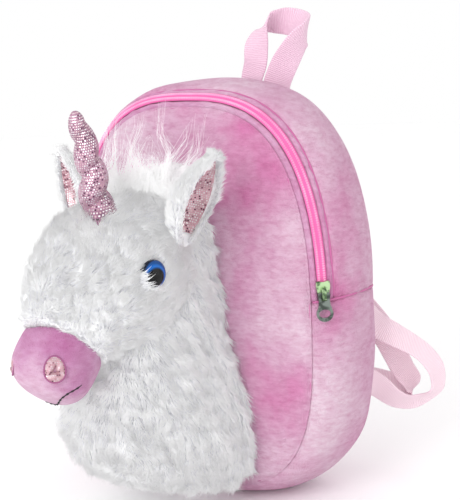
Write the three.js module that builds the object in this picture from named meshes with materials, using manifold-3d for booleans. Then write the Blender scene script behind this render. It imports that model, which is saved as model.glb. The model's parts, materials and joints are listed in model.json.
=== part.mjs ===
// A small plush backpack for a child with a stuffed unicorn's head and chest sewn to its front.
// Millimetres. +Z is up, the animal looks along -Y and the wearer's back is at +Y.
// The bag is a hollow oval pouch of separate plush panels. The animal is stuffed.
// It hangs from its carry loop. The origin is inside the top of that loop, where a hand or a hook bears.

import * as THREE from 'three';
import { mergeVertices } from 'three/addons/utils/BufferGeometryUtils.js';
import Module from 'manifold-3d';

const wasm = await Module();
wasm.setup();

// Sizes of the pouch
const bagHeight = 300;
const bagWidth = 240;
const bagDepth = 72.6; // from the front seam to the back seam
const widestHeight = 128.2; // height above the floor at which the oval is widest
const sideSwell = 17.5; // how far the side wall swells past its two seams
const bottomSwell = 12;
const bottomPress = 3.5; // how much of the swollen bottom is pressed flat
const upperPower = 2.79; // squareness of the oval's upper half; 2 is an ellipse
const lowerPower = 2.89;
const plush = 3; // thickness of the plush with its backing
const seamGap = 0.3; // clearance between pieces that are sewn edge to edge
const seatGap = 0.4; // clearance between a piece and the soft body it sits on
const frontSwell = 8;
const backSwell = 4;
const backFlatShare = 0.55; // share of the back panel that is flat
const rimTurnShare = 0.06; // share of the gusset's wrap over which its edge turns to lie along a rim
const crossSeamHeight = 152; // seam on each flank between the zip gusset and the lower gusset

// Sizes of the zip
const zipCentre = 8.4; // from the front seam to the middle of the coils, over the gusset
const zipWidth = 7;
const coilRise = 0.6; // how far the coils stand above the gusset
const coilDepth = 1.8; // how far they reach under its surface
const rearStripWidth = 5;
const sliderHeight = crossSeamHeight + 7; // the parked slider's middle stands just above that seam
const sliderLength = 13.5;
const sliderWidth = 9.4;
const sliderPlate = 1.5;
const bridgeWidth = 3;
const bridgeBar = 1.4;
const eyeBar = 1.5; // the pull's cross bar, which turns inside the bridge
const pullClearance = 0.45;
const pullLength = 19;
const pullNeckWidth = 8.4;
const pullRingWidth = 11.6;
const pullThickness = 1.5;

// Sizes of the webbing
const webWidth = 20;
const webThickness = 1.6;
const loopHeight = 57; // the carry loop above the back seam
const loopSpread = 22; // half the distance that the loop spreads to each side
const loopOffset = 20; // how far the loop is sewn beside the middle
const hangSide = 29; // where a hook bears in the loop: beside the pouch's middle,
const hangBack = 42; // behind it,
const hangHeight = 331.5; // and above the floor of the bag
const strapReach = 60; // how far the shoulder straps stand off behind the back seam

// Sizes of the animal
const neckHalfWidth = 60;
const chestReach = 151; // from the middle of the pouch to the front of the chest
const neckTop = 243;
const headHalfWidth = 51;
const headHalfHeight = 48;
const headForward = 130; // from the middle of the pouch to the middle of the skull
const headHeight = 178;
const muzzleForward = 179;
const muzzleHeight = 125;
const muzzleHalfWidth = 29;
const muzzleHalfHeight = 27;
const nostrilWidth = 13;
const nostrilHeight = 16;
const nostrilDepth = 5;
const eyeDiameter = 18.5;
const eyeForward = 133;
const eyeHeight = 184;
const earLength = 52;
const earHalfWidth = 19;
const earThickness = 5;
const earLift = 206; // height of the ear's root
const earForward = 98;
const earSplay = 19; // how far an ear's tip stands outside its root
const liningThickness = 1.2;
const hornLength = 72;
const hornRadius = 11.5;
const hornLean = 16; // how far the tip stands in front of the root
const maneHeight = 52;
const maneBehind = 0.665; // the mane's root behind the skull's middle, as a share of the way to the muzzle
const maneHalfWidth = 26;

const halfDepth = bagDepth / 2;
const seamHalfWidth = bagWidth / 2 - sideSwell;
const upperSeamHeight = bagHeight - sideSwell - widestHeight;
const lowerSeamHeight = widestHeight + bottomPress - bottomSwell;

const pinkPlush = new THREE.MeshStandardMaterial({ color: 0xe39bc4, roughness: 0.95 });
const paleStrip = new THREE.MeshStandardMaterial({ color: 0xe8a9cc, roughness: 0.95 });
const zipPink = new THREE.MeshStandardMaterial({ color: 0xe86fae, roughness: 0.6 });
const webbingPink = new THREE.MeshStandardMaterial({ color: 0xf0bcd6, roughness: 0.8 });
const whiteFur = new THREE.MeshStandardMaterial({ color: 0xeeeaf0, roughness: 1 });
const muzzlePink = new THREE.MeshStandardMaterial({ color: 0xdb8fc0, roughness: 0.95 });
const glitterPink = new THREE.MeshStandardMaterial({ color: 0xd59ab4, roughness: 0.35, metalness: 0.4 });
const eyeBlue = new THREE.MeshStandardMaterial({ color: 0x1d4f9c, roughness: 0.08 });
const gunmetal = new THREE.MeshStandardMaterial({ color: 0x6a706c, roughness: 0.3, metalness: 1 });

// Closed bodies

function signedVolume(position, index) {
  const [a, b, c] = [new THREE.Vector3(), new THREE.Vector3(), new THREE.Vector3()];
  let volume = 0;
  for (let i = 0; i < index.length; i += 3) {
    a.fromBufferAttribute(position, index[i]);
    b.fromBufferAttribute(position, index[i + 1]);
    c.fromBufferAttribute(position, index[i + 2]);
    volume += a.dot(b.cross(c)) / 6;
  }
  return volume;
}

// Rings of points joined one to the next. Each ring closes on itself. The run of rings either closes too,
// or ends in a point, a fan of triangles, or a strip between the two long sides of a flat ring.
function joinRings(rings, { closed = false, cap = 'fan' } = {}) {
  const count = rings[0].length;
  const points = rings.flat();
  const triangles = [];
  const runs = closed ? rings.length : rings.length - 1;
  for (let i = 0; i < runs; i += 1) {
    const here = i * count;
    const next = ((i + 1) % rings.length) * count;
    for (let j = 0; j < count; j += 1) {
      const k = (j + 1) % count;
      triangles.push(here + j, here + k, next + k, here + j, next + k, next + j);
    }
  }
  const ends = closed ? [] : [[0, -1], [(rings.length - 1) * count, 1]];
  for (const [start, side] of ends) {
    const face = [];
    if (cap === 'strip') {
      for (let j = 0; j < count / 2 - 1; j += 1) {
        const far = count - 1 - j;
        face.push([j, j + 1, far - 1], [j, far - 1, far]);
      }
    } else {
      const middle = points.length - start;
      const ring = points.slice(start, start + count);
      points.push(ring.reduce((sum, p) => sum.add(p), new THREE.Vector3()).divideScalar(count));
      for (let j = 0; j < count; j += 1) face.push([middle, j, (j + 1) % count]);
    }
    for (const [a, b, c] of face) triangles.push(...(side > 0 ? [a, b, c] : [a, c, b]).map((n) => n + start));
  }
  return closeUp(points, triangles);
}

function closeUp(points, triangles) {
  const raw = new THREE.BufferGeometry();
  raw.setAttribute('position', new THREE.Float32BufferAttribute(points.flatMap((p) => p.toArray()), 3));
  raw.setIndex(triangles);
  return weld(raw);
}

// Merges points that coincide, drops triangles that collapsed and turns the faces outwards.
function weld(geometry) {
  const bare = geometry.clone();
  for (const name of ['normal', 'uv']) bare.deleteAttribute(name);
  const body = mergeVertices(bare, 1e-4);
  const all = body.index.array;
  const kept = [];
  for (let i = 0; i < all.length; i += 3) {
    const [a, b, c] = [all[i], all[i + 1], all[i + 2]];
    if (a !== b && b !== c && c !== a) kept.push(a, b, c);
  }
  if (signedVolume(body.attributes.position, kept) < 0) {
    for (let i = 0; i < kept.length; i += 3) [kept[i + 1], kept[i + 2]] = [kept[i + 2], kept[i + 1]];
  }
  body.setIndex(kept);
  return body;
}

function toSolid(geometry) {
  const body = weld(geometry);
  return new wasm.Manifold(new wasm.Mesh({
    numProp: 3,
    vertProperties: new Float32Array(body.attributes.position.array),
    triVerts: new Uint32Array(body.index.array),
  }));
}

function toGeometry(solid) {
  const mesh = solid.getMesh();
  const geometry = new THREE.BufferGeometry();
  geometry.setAttribute('position', new THREE.BufferAttribute(mesh.vertProperties, 3));
  geometry.setIndex(new THREE.BufferAttribute(mesh.triVerts, 1));
  return geometry;
}

function cutAway(geometry, ...others) {
  return toGeometry(others.reduce((solid, other) => solid.subtract(toSolid(other)), toSolid(geometry)));
}

function joinAll(geometries) {
  return toGeometry(geometries.map(toSolid).reduce((sum, solid) => sum.add(solid)));
}

// The pouch's surface

const signedPower = (value, power) => Math.sign(value) * Math.abs(value) ** power;

// A point of the oval at an angle from +X, at a share of its radius, grown outwards by some millimetres.
function ovalPoint(turn, share, sideGrowth, bottomGrowth) {
  const upper = Math.sin(turn) >= 0;
  const power = 2 / (upper ? upperPower : lowerPower);
  const tall = upper ? upperSeamHeight + sideGrowth : lowerSeamHeight + bottomGrowth;
  const across = (seamHalfWidth + sideGrowth) * signedPower(Math.cos(turn), power);
  return [share * across, widestHeight + share * tall * signedPower(Math.sin(turn), power)];
}

// The angle at which the seam's oval reaches a height in its upper half.
function turnAtHeight(height) {
  return Math.asin(((height - widestHeight) / upperSeamHeight) ** (upperPower / 2));
}

// A point of the gusset: wrap runs from 0 at the front seam to 1 at the back seam. The inset is square to
// the plush, apart from near the two seams, where it turns to run along the panels' rims.
function gussetPoint(turn, wrap, inset) {
  const round = Math.PI * wrap;
  const bulge = Math.sin(round);
  const square = Math.min(1, wrap / rimTurnShare, (1 - wrap) / rimTurnShare);
  const out = new THREE.Vector2(halfDepth * bulge, -sideSwell * Math.cos(round)).normalize();
  out.lerp(new THREE.Vector2(1, 0), 1 - square).normalize().multiplyScalar(-inset);
  const [x, z] = ovalPoint(turn, 1, sideSwell * bulge + out.x, bottomSwell * bulge + out.x);
  return new THREE.Vector3(x, out.y - halfDepth * Math.cos(round), Math.max(z, inset));
}

// The wrap at a distance over the gusset from the front seam.
function wrapAt(distance) {
  const step = 0.001;
  let wrap = 0;
  for (let run = 0; run < distance; wrap += step) {
    const turned = Math.PI * wrap;
    run += step * Math.PI * Math.hypot(halfDepth * Math.sin(turned), sideSwell * Math.cos(turned));
  }
  return wrap;
}

function between(from, to, count) {
  return Array.from({ length: count + 1 }, (_, i) => from + ((to - from) * i) / count);
}

// A band of the gusset with its thickness, between two wraps and two turns.
function gussetBand(fromWrap, toWrap, wraps, fromTurn, toTurn, turns, rise = 0, depth = plush) {
  const across = between(fromWrap, toWrap, wraps);
  const rings = between(fromTurn, toTurn, turns).map((turn) => [
    ...across.map((wrap) => gussetPoint(turn, wrap, -rise)),
    ...[...across].reverse().map((wrap) => gussetPoint(turn, wrap, depth)),
  ]);
  return joinRings(rings, { cap: 'strip' });
}

const frontCrown = (share) => Math.sqrt(Math.max(0, 1 - share ** 3));
const backCrown = (share) => {
  const turned = Math.max(0, share - backFlatShare) / (1 - backFlatShare);
  return Math.sqrt(Math.max(0, 1 - turned ** 2));
};

// A domed end panel: facing -1 for the front and 1 for the back.
function endPanel(facing, swell, crown, shares, turns) {
  const rim = halfDepth + seamGap;
  const innerShare = 1 - plush / seamHalfWidth;
  const skin = (turn, share, size, height) => {
    const [x, z] = ovalPoint(turn, share * size, 0, 0);
    return new THREE.Vector3(x, facing * (rim + height * crown(share)), z);
  };
  const rings = between(0, 2 * Math.PI, turns).slice(0, -1).map((turn) => [
    ...shares.map((share) => skin(turn, share, 1, swell + plush)),
    ...[...shares].reverse().map((share) => skin(turn, share, innerShare, swell)),
  ]);
  return joinRings(rings, { closed: true });
}

// The whole pouch as one body, grown by a clearance, for fitting what is sewn onto it.
function pouchBody(growth, turns) {
  const profile = [];
  const shares = [0.02, 0.35, 0.6, 0.8, 0.92, 0.985];
  const rim = halfDepth + seamGap + growth;
  for (const share of shares) profile.push({ share, y: -rim - (frontSwell + plush) * frontCrown(share) });
  for (const wrap of between(0, 1, 10)) profile.push({ wrap });
  for (const share of [...shares].reverse()) profile.push({ share, y: rim + (backSwell + plush) * backCrown(share) });
  const allRound = between(0, 2 * Math.PI, turns).slice(0, -1);
  return joinRings(profile.map(({ share, wrap, y }) => allRound.map((turn) => {
    if (wrap !== undefined) return gussetPoint(turn, wrap, -growth);
    const [x, z] = ovalPoint(turn, share, growth, growth);
    return new THREE.Vector3(x, y, z);
  })));
}

// The animal's stuffed bodies

// A rounded section in the plane of two directions, with its own half height above and below the middle.
function sectionRing(centre, across, up, halfWidth, above, below, power, sides) {
  return between(0, 2 * Math.PI, sides).slice(0, -1).map((turn) => {
    const lift = Math.sin(turn) > 0 ? above : below;
    return centre.clone().addScaledVector(across, halfWidth * signedPower(Math.cos(turn), 2 / power))
      .addScaledVector(up, lift * signedPower(Math.sin(turn), 2 / power));
  });
}

const skullCentre = new THREE.Vector3(0, -headForward, headHeight);
const muzzleCentre = new THREE.Vector3(0, -muzzleForward, muzzleHeight);
const noseLine = muzzleCentre.clone().sub(skullCentre);
const noseLength = noseLine.length();
const noseDirection = noseLine.clone().normalize();
const sideways = new THREE.Vector3(1, 0, 0);
const browDirection = sideways.clone().cross(noseDirection).normalize();
if (browDirection.z < 0) browDirection.negate();

// Sections along the line from the skull's middle to the muzzle's middle: place on that line, half width,
// and half height above and below the line as shares of the head's or the muzzle's own.
const headSections = [
  { along: -0.86, wide: 0.02, tall: 0.02, jaw: 0.02 },
  { along: -0.82, wide: 0.4, tall: 0.2, jaw: 0.5 },
  { along: -0.7, wide: 0.7, tall: 0.42, jaw: 0.86 },
  { along: -0.5, wide: 0.9, tall: 0.66, jaw: 1.12 },
  { along: -0.2, wide: 0.99, tall: 0.92, jaw: 1.28 },
  { along: 0.05, wide: 1.0, tall: 1.0, jaw: 1.26 },
  { along: 0.24, wide: 0.95, tall: 0.97, jaw: 1.12 },
  { along: 0.4, wide: 0.84, tall: 0.87, jaw: 0.93 },
  { along: 0.54, wide: 0.71, tall: 0.75, jaw: 0.76 },
  { along: 0.66, wide: 0.62, tall: 0.66, jaw: 0.65 },
  { along: 0.72, wide: 0.58, tall: 0.61, jaw: 0.6 },
];
const muzzleSections = [
  { along: 0.72, wide: 0.96, tall: 0.97, jaw: 0.97 },
  { along: 0.82, wide: 1.0, tall: 1.0, jaw: 1.0 },
  { along: 0.96, wide: 1.0, tall: 0.99, jaw: 0.99 },
  { along: 1.08, wide: 0.92, tall: 0.9, jaw: 0.9 },
  { along: 1.18, wide: 0.74, tall: 0.72, jaw: 0.72 },
  { along: 1.25, wide: 0.5, tall: 0.48, jaw: 0.48 },
  { along: 1.285, wide: 0.2, tall: 0.2, jaw: 0.2 },
  { along: 1.29, wide: 0.02, tall: 0.02, jaw: 0.02 },
];

function noseBody(sections, halfWidth, halfHeight, sides, growth, startGrowth) {
  return joinRings(sections.map(({ along, wide, tall, jaw }, i) => {
    const first = i === 0 ? -startGrowth : 0;
    const shift = i === sections.length - 1 ? growth : first;
    const centre = skullCentre.clone().addScaledVector(noseDirection, along * noseLength + shift);
    const sizes = [wide * halfWidth, tall * halfHeight, jaw * halfHeight].map((size) => size + growth);
    return sectionRing(centre, sideways, browDirection, ...sizes, 2.15, sides);
  }));
}

const headBody = (growth) => noseBody(headSections, headHalfWidth, headHalfHeight, 26, growth, growth);
const muzzleBody = (growth) => noseBody(muzzleSections, muzzleHalfWidth, muzzleHalfHeight, 22, growth, -seamGap);

// Level sections of the neck and chest, from the bottom up: height as a share of the neck's top, half width
// and reach in front of the pouch's middle as shares of the chest's own, and how far behind the pouch's
// middle the section ends, as a share of half the pouch's depth. The pouch is then cut out of it.
const neckSections = [
  { height: 0.036, wide: 0.55, reach: 0.4, back: 0.2 },
  { height: 0.046, wide: 0.76, reach: 0.5, back: 0.4 },
  { height: 0.072, wide: 0.88, reach: 0.61, back: 0.4 },
  { height: 0.115, wide: 0.96, reach: 0.74, back: 0.4 },
  { height: 0.175, wide: 1.0, reach: 0.87, back: 0.3 },
  { height: 0.255, wide: 1.0, reach: 0.97, back: 0.1 },
  { height: 0.345, wide: 0.95, reach: 1.0, back: -0.2 },
  { height: 0.45, wide: 0.85, reach: 0.97, back: -0.5 },
  { height: 0.57, wide: 0.74, reach: 0.9, back: -0.7 },
  { height: 0.7, wide: 0.64, reach: 0.8, back: -0.75 },
  { height: 0.82, wide: 0.52, reach: 0.71, back: -0.75 },
  { height: 0.91, wide: 0.41, reach: 0.61, back: -0.75 },
  { height: 0.975, wide: 0.24, reach: 0.5, back: -0.75 },
  { height: 1.0, wide: 0.04, reach: 0.38, back: -0.8 },
];

function neckBody(sides, growth) {
  const forward = new THREE.Vector3(0, -1, 0);
  return joinRings(neckSections.map(({ height, wide, reach, back }) => {
    const half = (reach * chestReach + back * halfDepth) / 2;
    const centre = new THREE.Vector3(0, back * halfDepth - half, height * neckTop);
    const [width, length] = [wide * neckHalfWidth + growth, half + growth];
    return sectionRing(centre, sideways, forward, width, length, length, 2.5, sides);
  }));
}

// A flattened ball whose short axis points along a direction.
function button(centre, facing, width, height, depth, segments) {
  const ball = new THREE.SphereGeometry(0.5, segments, segments / 2 + 1);
  ball.rotateX(Math.PI / 2);
  ball.scale(width, height, depth);
  const turned = new THREE.Matrix4().lookAt(facing, new THREE.Vector3(), new THREE.Vector3(0, 0, 1));
  ball.applyMatrix4(turned);
  ball.translate(...centre.toArray());
  for (const name of ['normal', 'uv']) ball.deleteAttribute(name);
  return ball;
}

function eyeBall(side, growth) {
  const centre = new THREE.Vector3(side * (headHalfWidth - 3), -eyeForward, eyeHeight);
  const size = eyeDiameter + 2 * growth;
  return button(centre, new THREE.Vector3(side, -0.12, 0.05), size, size, size * 0.6, 12);
}

function nostril(side, growth) {
  const facing = new THREE.Vector3(side * 0.72, -0.64, 0.27).normalize();
  const centre = muzzleCentre.clone().addScaledVector(facing, muzzleHalfWidth * 0.92);
  const sizes = [nostrilWidth, nostrilHeight, nostrilDepth].map((size) => size + 2 * growth);
  return button(centre, facing, ...sizes, 10);
}

// An ear: a cupped leaf. along runs from the root to the tip and across from one edge to the other.
function earLeaf(side, wideShare, from, to, front, back) {
  const root = new THREE.Vector3(side * headHalfWidth * 0.97, -earForward, earLift);
  const tip = new THREE.Vector3(root.x + side * earSplay, root.y + earSplay / 3, 0);
  tip.z = root.z + Math.sqrt(earLength ** 2 - earSplay ** 2 - (earSplay / 3) ** 2);
  const length = tip.clone().sub(root);
  const up = length.clone().normalize();
  const facing = new THREE.Vector3(side * 0.42, -1, 0);
  facing.addScaledVector(up, -facing.dot(up)).normalize();
  const across = up.clone().cross(facing).normalize();
  const surface = (along, over, lift) => {
    const half = earHalfWidth * wideShare * Math.sin(Math.PI * Math.min(1, 0.22 + 0.78 * along)) ** 0.55;
    const cup = 0.32 * over * over * half;
    return root.clone().addScaledVector(length, along).addScaledVector(across, over * half)
      .addScaledVector(facing, cup + lift);
  };
  const overs = between(-1, 1, 4);
  return joinRings(between(from, to, 7).map((along) => [
    ...overs.map((over) => surface(along, over, front)),
    ...[...overs].reverse().map((over) => surface(along, over, back)),
  ]), { cap: 'strip' });
}

const ear = (side) => earLeaf(side, 1, 0, 0.985, 0, -earThickness);
const earLining = (side) => earLeaf(side, 0.62, 0.02, 0.93, seamGap + liningThickness, seamGap);

// The horn: a cone of wound stuffing with a spiral groove, on a gathered collar.
const hornTurns = 3.2;
const hornGroove = 0.2;
const collarFlare = 0.34;

function hornBody() {
  const root = new THREE.Vector3(0, -headForward, headHeight + headHalfHeight * 0.84);
  const rise = Math.sqrt(hornLength ** 2 - hornLean ** 2);
  const line = new THREE.Vector3(0, -hornLean, rise);
  const up = line.clone().normalize();
  const forward = sideways.clone().cross(up).normalize();
  return joinRings(between(0, 1, 22).map((along) => between(0, 2 * Math.PI, 11).slice(0, -1).map((turn) => {
    const phase = Math.PI * (along * hornTurns - turn / (2 * Math.PI));
    const groove = 1 - hornGroove * (1 - Math.abs(Math.sin(phase))) ** 1.5;
    const taper = (1 - 0.48 * along) * Math.sqrt(Math.max(0.0004, 1 - along ** 9));
    const collar = 1 + collarFlare * Math.max(0, 1 - along * 9) * (1 + 0.3 * Math.cos(7 * turn));
    const radius = hornRadius * taper * groove * collar;
    return root.clone().addScaledVector(line, along).addScaledVector(sideways, radius * Math.cos(turn))
      .addScaledVector(forward, radius * Math.sin(turn));
  })));
}

// The mane: tapered locks on one root pad between the ears. Root place and tip place as shares of the
// mane's half width to the side, of its height to the back and of its height upwards.
const maneLocks = [
  { side: -0.6, back: 0.1, tipSide: -0.9, tipBack: 0.2, tipUp: 0.7, thick: 0.3 },
  { side: -0.35, back: -0.05, tipSide: -0.3, tipBack: -0.2, tipUp: 1.2, thick: 0.33 },
  { side: 0.0, back: -0.12, tipSide: 0.1, tipBack: -0.2, tipUp: 1.0, thick: 0.36 },
  { side: 0.3, back: -0.05, tipSide: 0.9, tipBack: -0.1, tipUp: 1.28, thick: 0.34 },
  { side: 0.6, back: 0.05, tipSide: 1.7, tipBack: 0.25, tipUp: 1.2, thick: 0.32 },
  { side: 0.75, back: 0.2, tipSide: 2.2, tipBack: 0.5, tipUp: 0.8, thick: 0.3 },
  { side: 0.3, back: 0.35, tipSide: 1.0, tipBack: 0.75, tipUp: 0.9, thick: 0.36 },
  { side: -0.3, back: 0.35, tipSide: -0.7, tipBack: 0.75, tipUp: 0.8, thick: 0.34 },
  { side: 0.0, back: 0.55, tipSide: 0.2, tipBack: 0.9, tipUp: 0.45, thick: 0.36 },
];

function maneBody() {
  const root = skullCentre.clone().addScaledVector(noseLine, -maneBehind);
  const place = (side, back, up) => root.clone()
    .add(new THREE.Vector3(side * maneHalfWidth, back * maneHeight, up * maneHeight));
  const padSizes = [maneHalfWidth * 2.3, maneHeight * 1.1, maneHeight / 2];
  const pad = button(place(0, 0.25, 0.08), new THREE.Vector3(0, 0.4, 1), ...padSizes, 8);
  const locks = maneLocks.map(({ side, back, tipSide, tipBack, tipUp, thick }) => {
    const curve = new THREE.QuadraticBezierCurve3(
      place(side, back, 0),
      place((side * 2 + tipSide) / 3, (back * 2 + tipBack) / 3 - 0.08, tipUp * 0.85),
      place(tipSide, tipBack, tipUp),
    );
    return joinRings(between(0, 1, 4).map((along) => {
      const radius = thick * maneHalfWidth * (1 - along ** 1.6) + 0.6;
      const up = curve.getTangent(along);
      const over = up.clone().cross(new THREE.Vector3(0.3, 1, 0.1)).normalize();
      const side = up.clone().cross(over);
      return sectionRing(curve.getPoint(along), over, side, radius, radius * 0.75, radius * 0.75, 2, 5);
    }));
  });
  return joinAll([pad, ...locks]);
}

// Webbing

// A flat woven band along stations. Each station has its middle and the direction of the band's width.
function webbing(stations, steps) {
  const middles = new THREE.CatmullRomCurve3(stations.map((s) => s.middle), false, 'centripetal');
  const widths = new THREE.CatmullRomCurve3(stations.map((s) => s.width), false, 'catmullrom', 0.5);
  return joinRings(between(0, 1, steps).map((at) => {
    const middle = middles.getPoint(at);
    const along = middles.getTangent(at);
    const width = widths.getPoint(at);
    width.addScaledVector(along, -width.dot(along)).normalize();
    const face = along.clone().cross(width).normalize();
    return [[-1, -1], [1, -1], [1, 1], [-1, 1]].map(([over, out]) => middle.clone()
      .addScaledVector(width, (over * webWidth) / 2).addScaledVector(face, (out * webThickness) / 2));
  }));
}

// The carry loop's route. side is a share of its spread from where it is sewn, back is in webbing widths
// behind the back seam, up is a share of its height above that seam, and the width's direction follows.
const loopRoute = [
  { side: -0.62, back: 0.02, up: -0.12, width: [1, 0.1, 0] },
  { side: -0.62, back: 0.08, up: 0.25, width: [0.9, 0.35, 0.05] },
  { side: -0.55, back: 0.22, up: 0.6, width: [0.72, 0.66, 0.1] },
  { side: -0.22, back: 0.42, up: 0.9, width: [0.35, 0.86, 0.4] },
  { side: 0.35, back: 0.62, up: 1.0, width: [-0.1, 0.72, 0.7] },
  { side: 0.88, back: 0.55, up: 0.96, width: [-0.45, 0.6, 0.66] },
  { side: 1.0, back: 0.25, up: 0.72, width: [-0.8, 0.5, 0.3] },
  { side: 0.86, back: 0.1, up: 0.4, width: [-0.95, 0.3, 0.05] },
  { side: 0.6, back: 0.02, up: 0.1, width: [-1, 0.1, -0.1] },
  { side: 0.5, back: 0.0, up: -0.14, width: [-1, 0.05, -0.2] },
];

function carryLoop() {
  return webbing(loopRoute.map(({ side, back, up, width }) => ({
    middle: new THREE.Vector3(
      loopOffset + side * loopSpread,
      halfDepth + back * webWidth,
      widestHeight + upperSeamHeight + up * loopHeight,
    ),
    width: new THREE.Vector3(...width).normalize(),
  })), 32);
}

// The shoulder straps' routes, both swept out to +X behind the bag. side is a share of half the bag's width,
// back a share of the straps' reach behind the back seam, and up a share of the bag's height.
const rightStrapRoute = [
  { side: 0.4, back: -0.06, up: 0.925, width: [1, 0, -0.1] },
  { side: 0.4, back: 0.08, up: 0.9, width: [1, 0, -0.1] },
  { side: 0.42, back: 0.2, up: 0.8, width: [1, -0.1, 0] },
  { side: 0.48, back: 0.24, up: 0.68, width: [0.95, -0.3, -0.1] },
  { side: 0.58, back: 0.25, up: 0.56, width: [0.8, -0.4, -0.4] },
  { side: 0.72, back: 0.25, up: 0.46, width: [0.5, -0.45, -0.7] },
  { side: 0.84, back: 0.28, up: 0.395, width: [0.3, -0.5, -0.8] },
  { side: 0.94, back: 0.38, up: 0.368, width: [0.25, -0.6, -0.75] },
  { side: 1.02, back: 0.54, up: 0.34, width: [0.14, -0.85, -0.45] },
  { side: 1.08, back: 0.7, up: 0.305, width: [0.02, -0.96, -0.25] },
  { side: 1.11, back: 0.83, up: 0.262, width: [-0.06, -0.99, -0.05] },
  { side: 1.1, back: 0.87, up: 0.218, width: [0.0, -0.98, 0.14] },
  { side: 1.03, back: 0.87, up: 0.192, width: [0.03, -0.9, 0.4] },
  { side: 0.96, back: 0.78, up: 0.178, width: [0.12, -0.76, 0.64] },
  { side: 0.905, back: 0.66, up: 0.182, width: [0.3, -0.62, 0.72] },
  { side: 0.87, back: 0.52, up: 0.2, width: [0.48, -0.44, 0.76] },
  { side: 0.83, back: 0.34, up: 0.232, width: [0.5, -0.2, 0.84] },
  { side: 0.8, back: 0.1, up: 0.262, width: [0.3, 0.0, 0.95] },
  { side: 0.81, back: -0.06, up: 0.28, width: [0.2, 0.0, 0.98] },
];
const leftStrapRoute = [
  { side: -0.12, back: -0.06, up: 0.937, width: [1, 0, 0] },
  { side: -0.12, back: 0.08, up: 0.915, width: [1, 0, 0] },
  { side: -0.06, back: 0.26, up: 0.8, width: [1, 0.1, 0.1] },
  { side: 0.1, back: 0.42, up: 0.66, width: [0.9, 0.3, 0.3] },
  { side: 0.36, back: 0.52, up: 0.54, width: [0.7, 0.4, 0.55] },
  { side: 0.62, back: 0.54, up: 0.44, width: [0.55, 0.5, 0.65] },
  { side: 0.8, back: 0.56, up: 0.365, width: [0.45, 0.62, 0.62] },
  { side: 0.86, back: 0.66, up: 0.305, width: [0.43, 0.8, 0.4] },
  { side: 0.89, back: 0.76, up: 0.262, width: [0.4, 0.88, 0.15] },
  { side: 0.93, back: 0.85, up: 0.225, width: [0.2, 0.97, 0.15] },
  { side: 0.925, back: 0.87, up: 0.205, width: [-0.08, 0.94, 0.3] },
  { side: 0.87, back: 0.8, up: 0.213, width: [-0.15, 0.91, 0.37] },
  { side: 0.8, back: 0.66, up: 0.232, width: [-0.16, 0.92, 0.34] },
  { side: 0.66, back: 0.52, up: 0.25, width: [-0.15, 0.93, 0.25] },
  { side: 0.36, back: 0.42, up: 0.25, width: [-0.1, 0.9, 0.4] },
  { side: -0.1, back: 0.34, up: 0.24, width: [-0.05, 0.6, 0.8] },
  { side: -0.5, back: 0.24, up: 0.22, width: [-0.1, 0.2, 0.97] },
  { side: -0.73, back: 0.13, up: 0.2, width: [-0.3, 0.0, 0.95] },
  { side: -0.79, back: -0.06, up: 0.2, width: [-0.3, 0.0, 0.95] },
];

function shoulderStrap(route) {
  return webbing(route.map(({ side, back, up, width }) => ({
    middle: new THREE.Vector3((side * bagWidth) / 2, halfDepth + back * strapReach, up * bagHeight),
    width: new THREE.Vector3(...width).normalize(),
  })), 50);
}

// The zip's slider and pull, made flat and then turned onto the gusset's flank

const zipFrom = wrapAt(zipCentre - zipWidth / 2);
const zipTo = wrapAt(zipCentre + zipWidth / 2);
const rearTo = wrapAt(zipCentre + zipWidth / 2 + rearStripWidth);
const seamWrap = wrapAt(seamGap);
const sliderTurn = turnAtHeight(sliderHeight);
const sliderWrap = wrapAt(zipCentre);
const sliderSpot = gussetPoint(sliderTurn, sliderWrap, 0);
const upZip = gussetPoint(turnAtHeight(sliderHeight + sliderLength / 2), sliderWrap, 0)
  .sub(gussetPoint(turnAtHeight(sliderHeight - sliderLength / 2), sliderWrap, 0)).normalize();
const overZip = gussetPoint(sliderTurn, zipTo, 0).sub(gussetPoint(sliderTurn, zipFrom, 0));
const outOfZip = overZip.cross(upZip).normalize();
const acrossZip = upZip.clone().cross(outOfZip);
const onZip = new THREE.Matrix4().makeBasis(acrossZip, upZip, outOfZip).setPosition(sliderSpot);

function extruded(shape, depth, lift) {
  const body = new THREE.ExtrudeGeometry(shape, { depth, bevelEnabled: false, curveSegments: 6 });
  body.translate(0, 0, lift);
  return body;
}

function plateShape(width, length, taper) {
  const shape = new THREE.Shape();
  const [w, l] = [width / 2, length / 2];
  shape.moveTo(-w * taper, -l);
  shape.lineTo(w * taper, -l);
  shape.quadraticCurveTo(w * 0.8, -l * 0.2, w, l * 0.35);
  shape.lineTo(w, l * 0.9);
  shape.quadraticCurveTo(w * 0.9, l, w * 0.6, l);
  shape.quadraticCurveTo(0, l * 0.8, -w * 0.6, l);
  shape.quadraticCurveTo(-w * 0.9, l, -w, l * 0.9);
  shape.lineTo(-w, l * 0.35);
  shape.quadraticCurveTo(-w * 0.8, -l * 0.2, -w * taper, -l);
  return shape;
}

const plateFoot = coilRise + seamGap; // underside of the slider's top plate above the gusset
const plateTop = plateFoot + sliderPlate;
const bridgeRoom = eyeBar + 2 * pullClearance;
const hingeLift = plateTop + bridgeRoom / 2;
const hingeDown = -sliderLength * 0.12; // the hinge lies a little below the slider's middle
const chainEndUp = 2.2; // the coils end this far above the slider's middle, between its plates
const postLength = 3;
const underPlate = 1.2;

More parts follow.
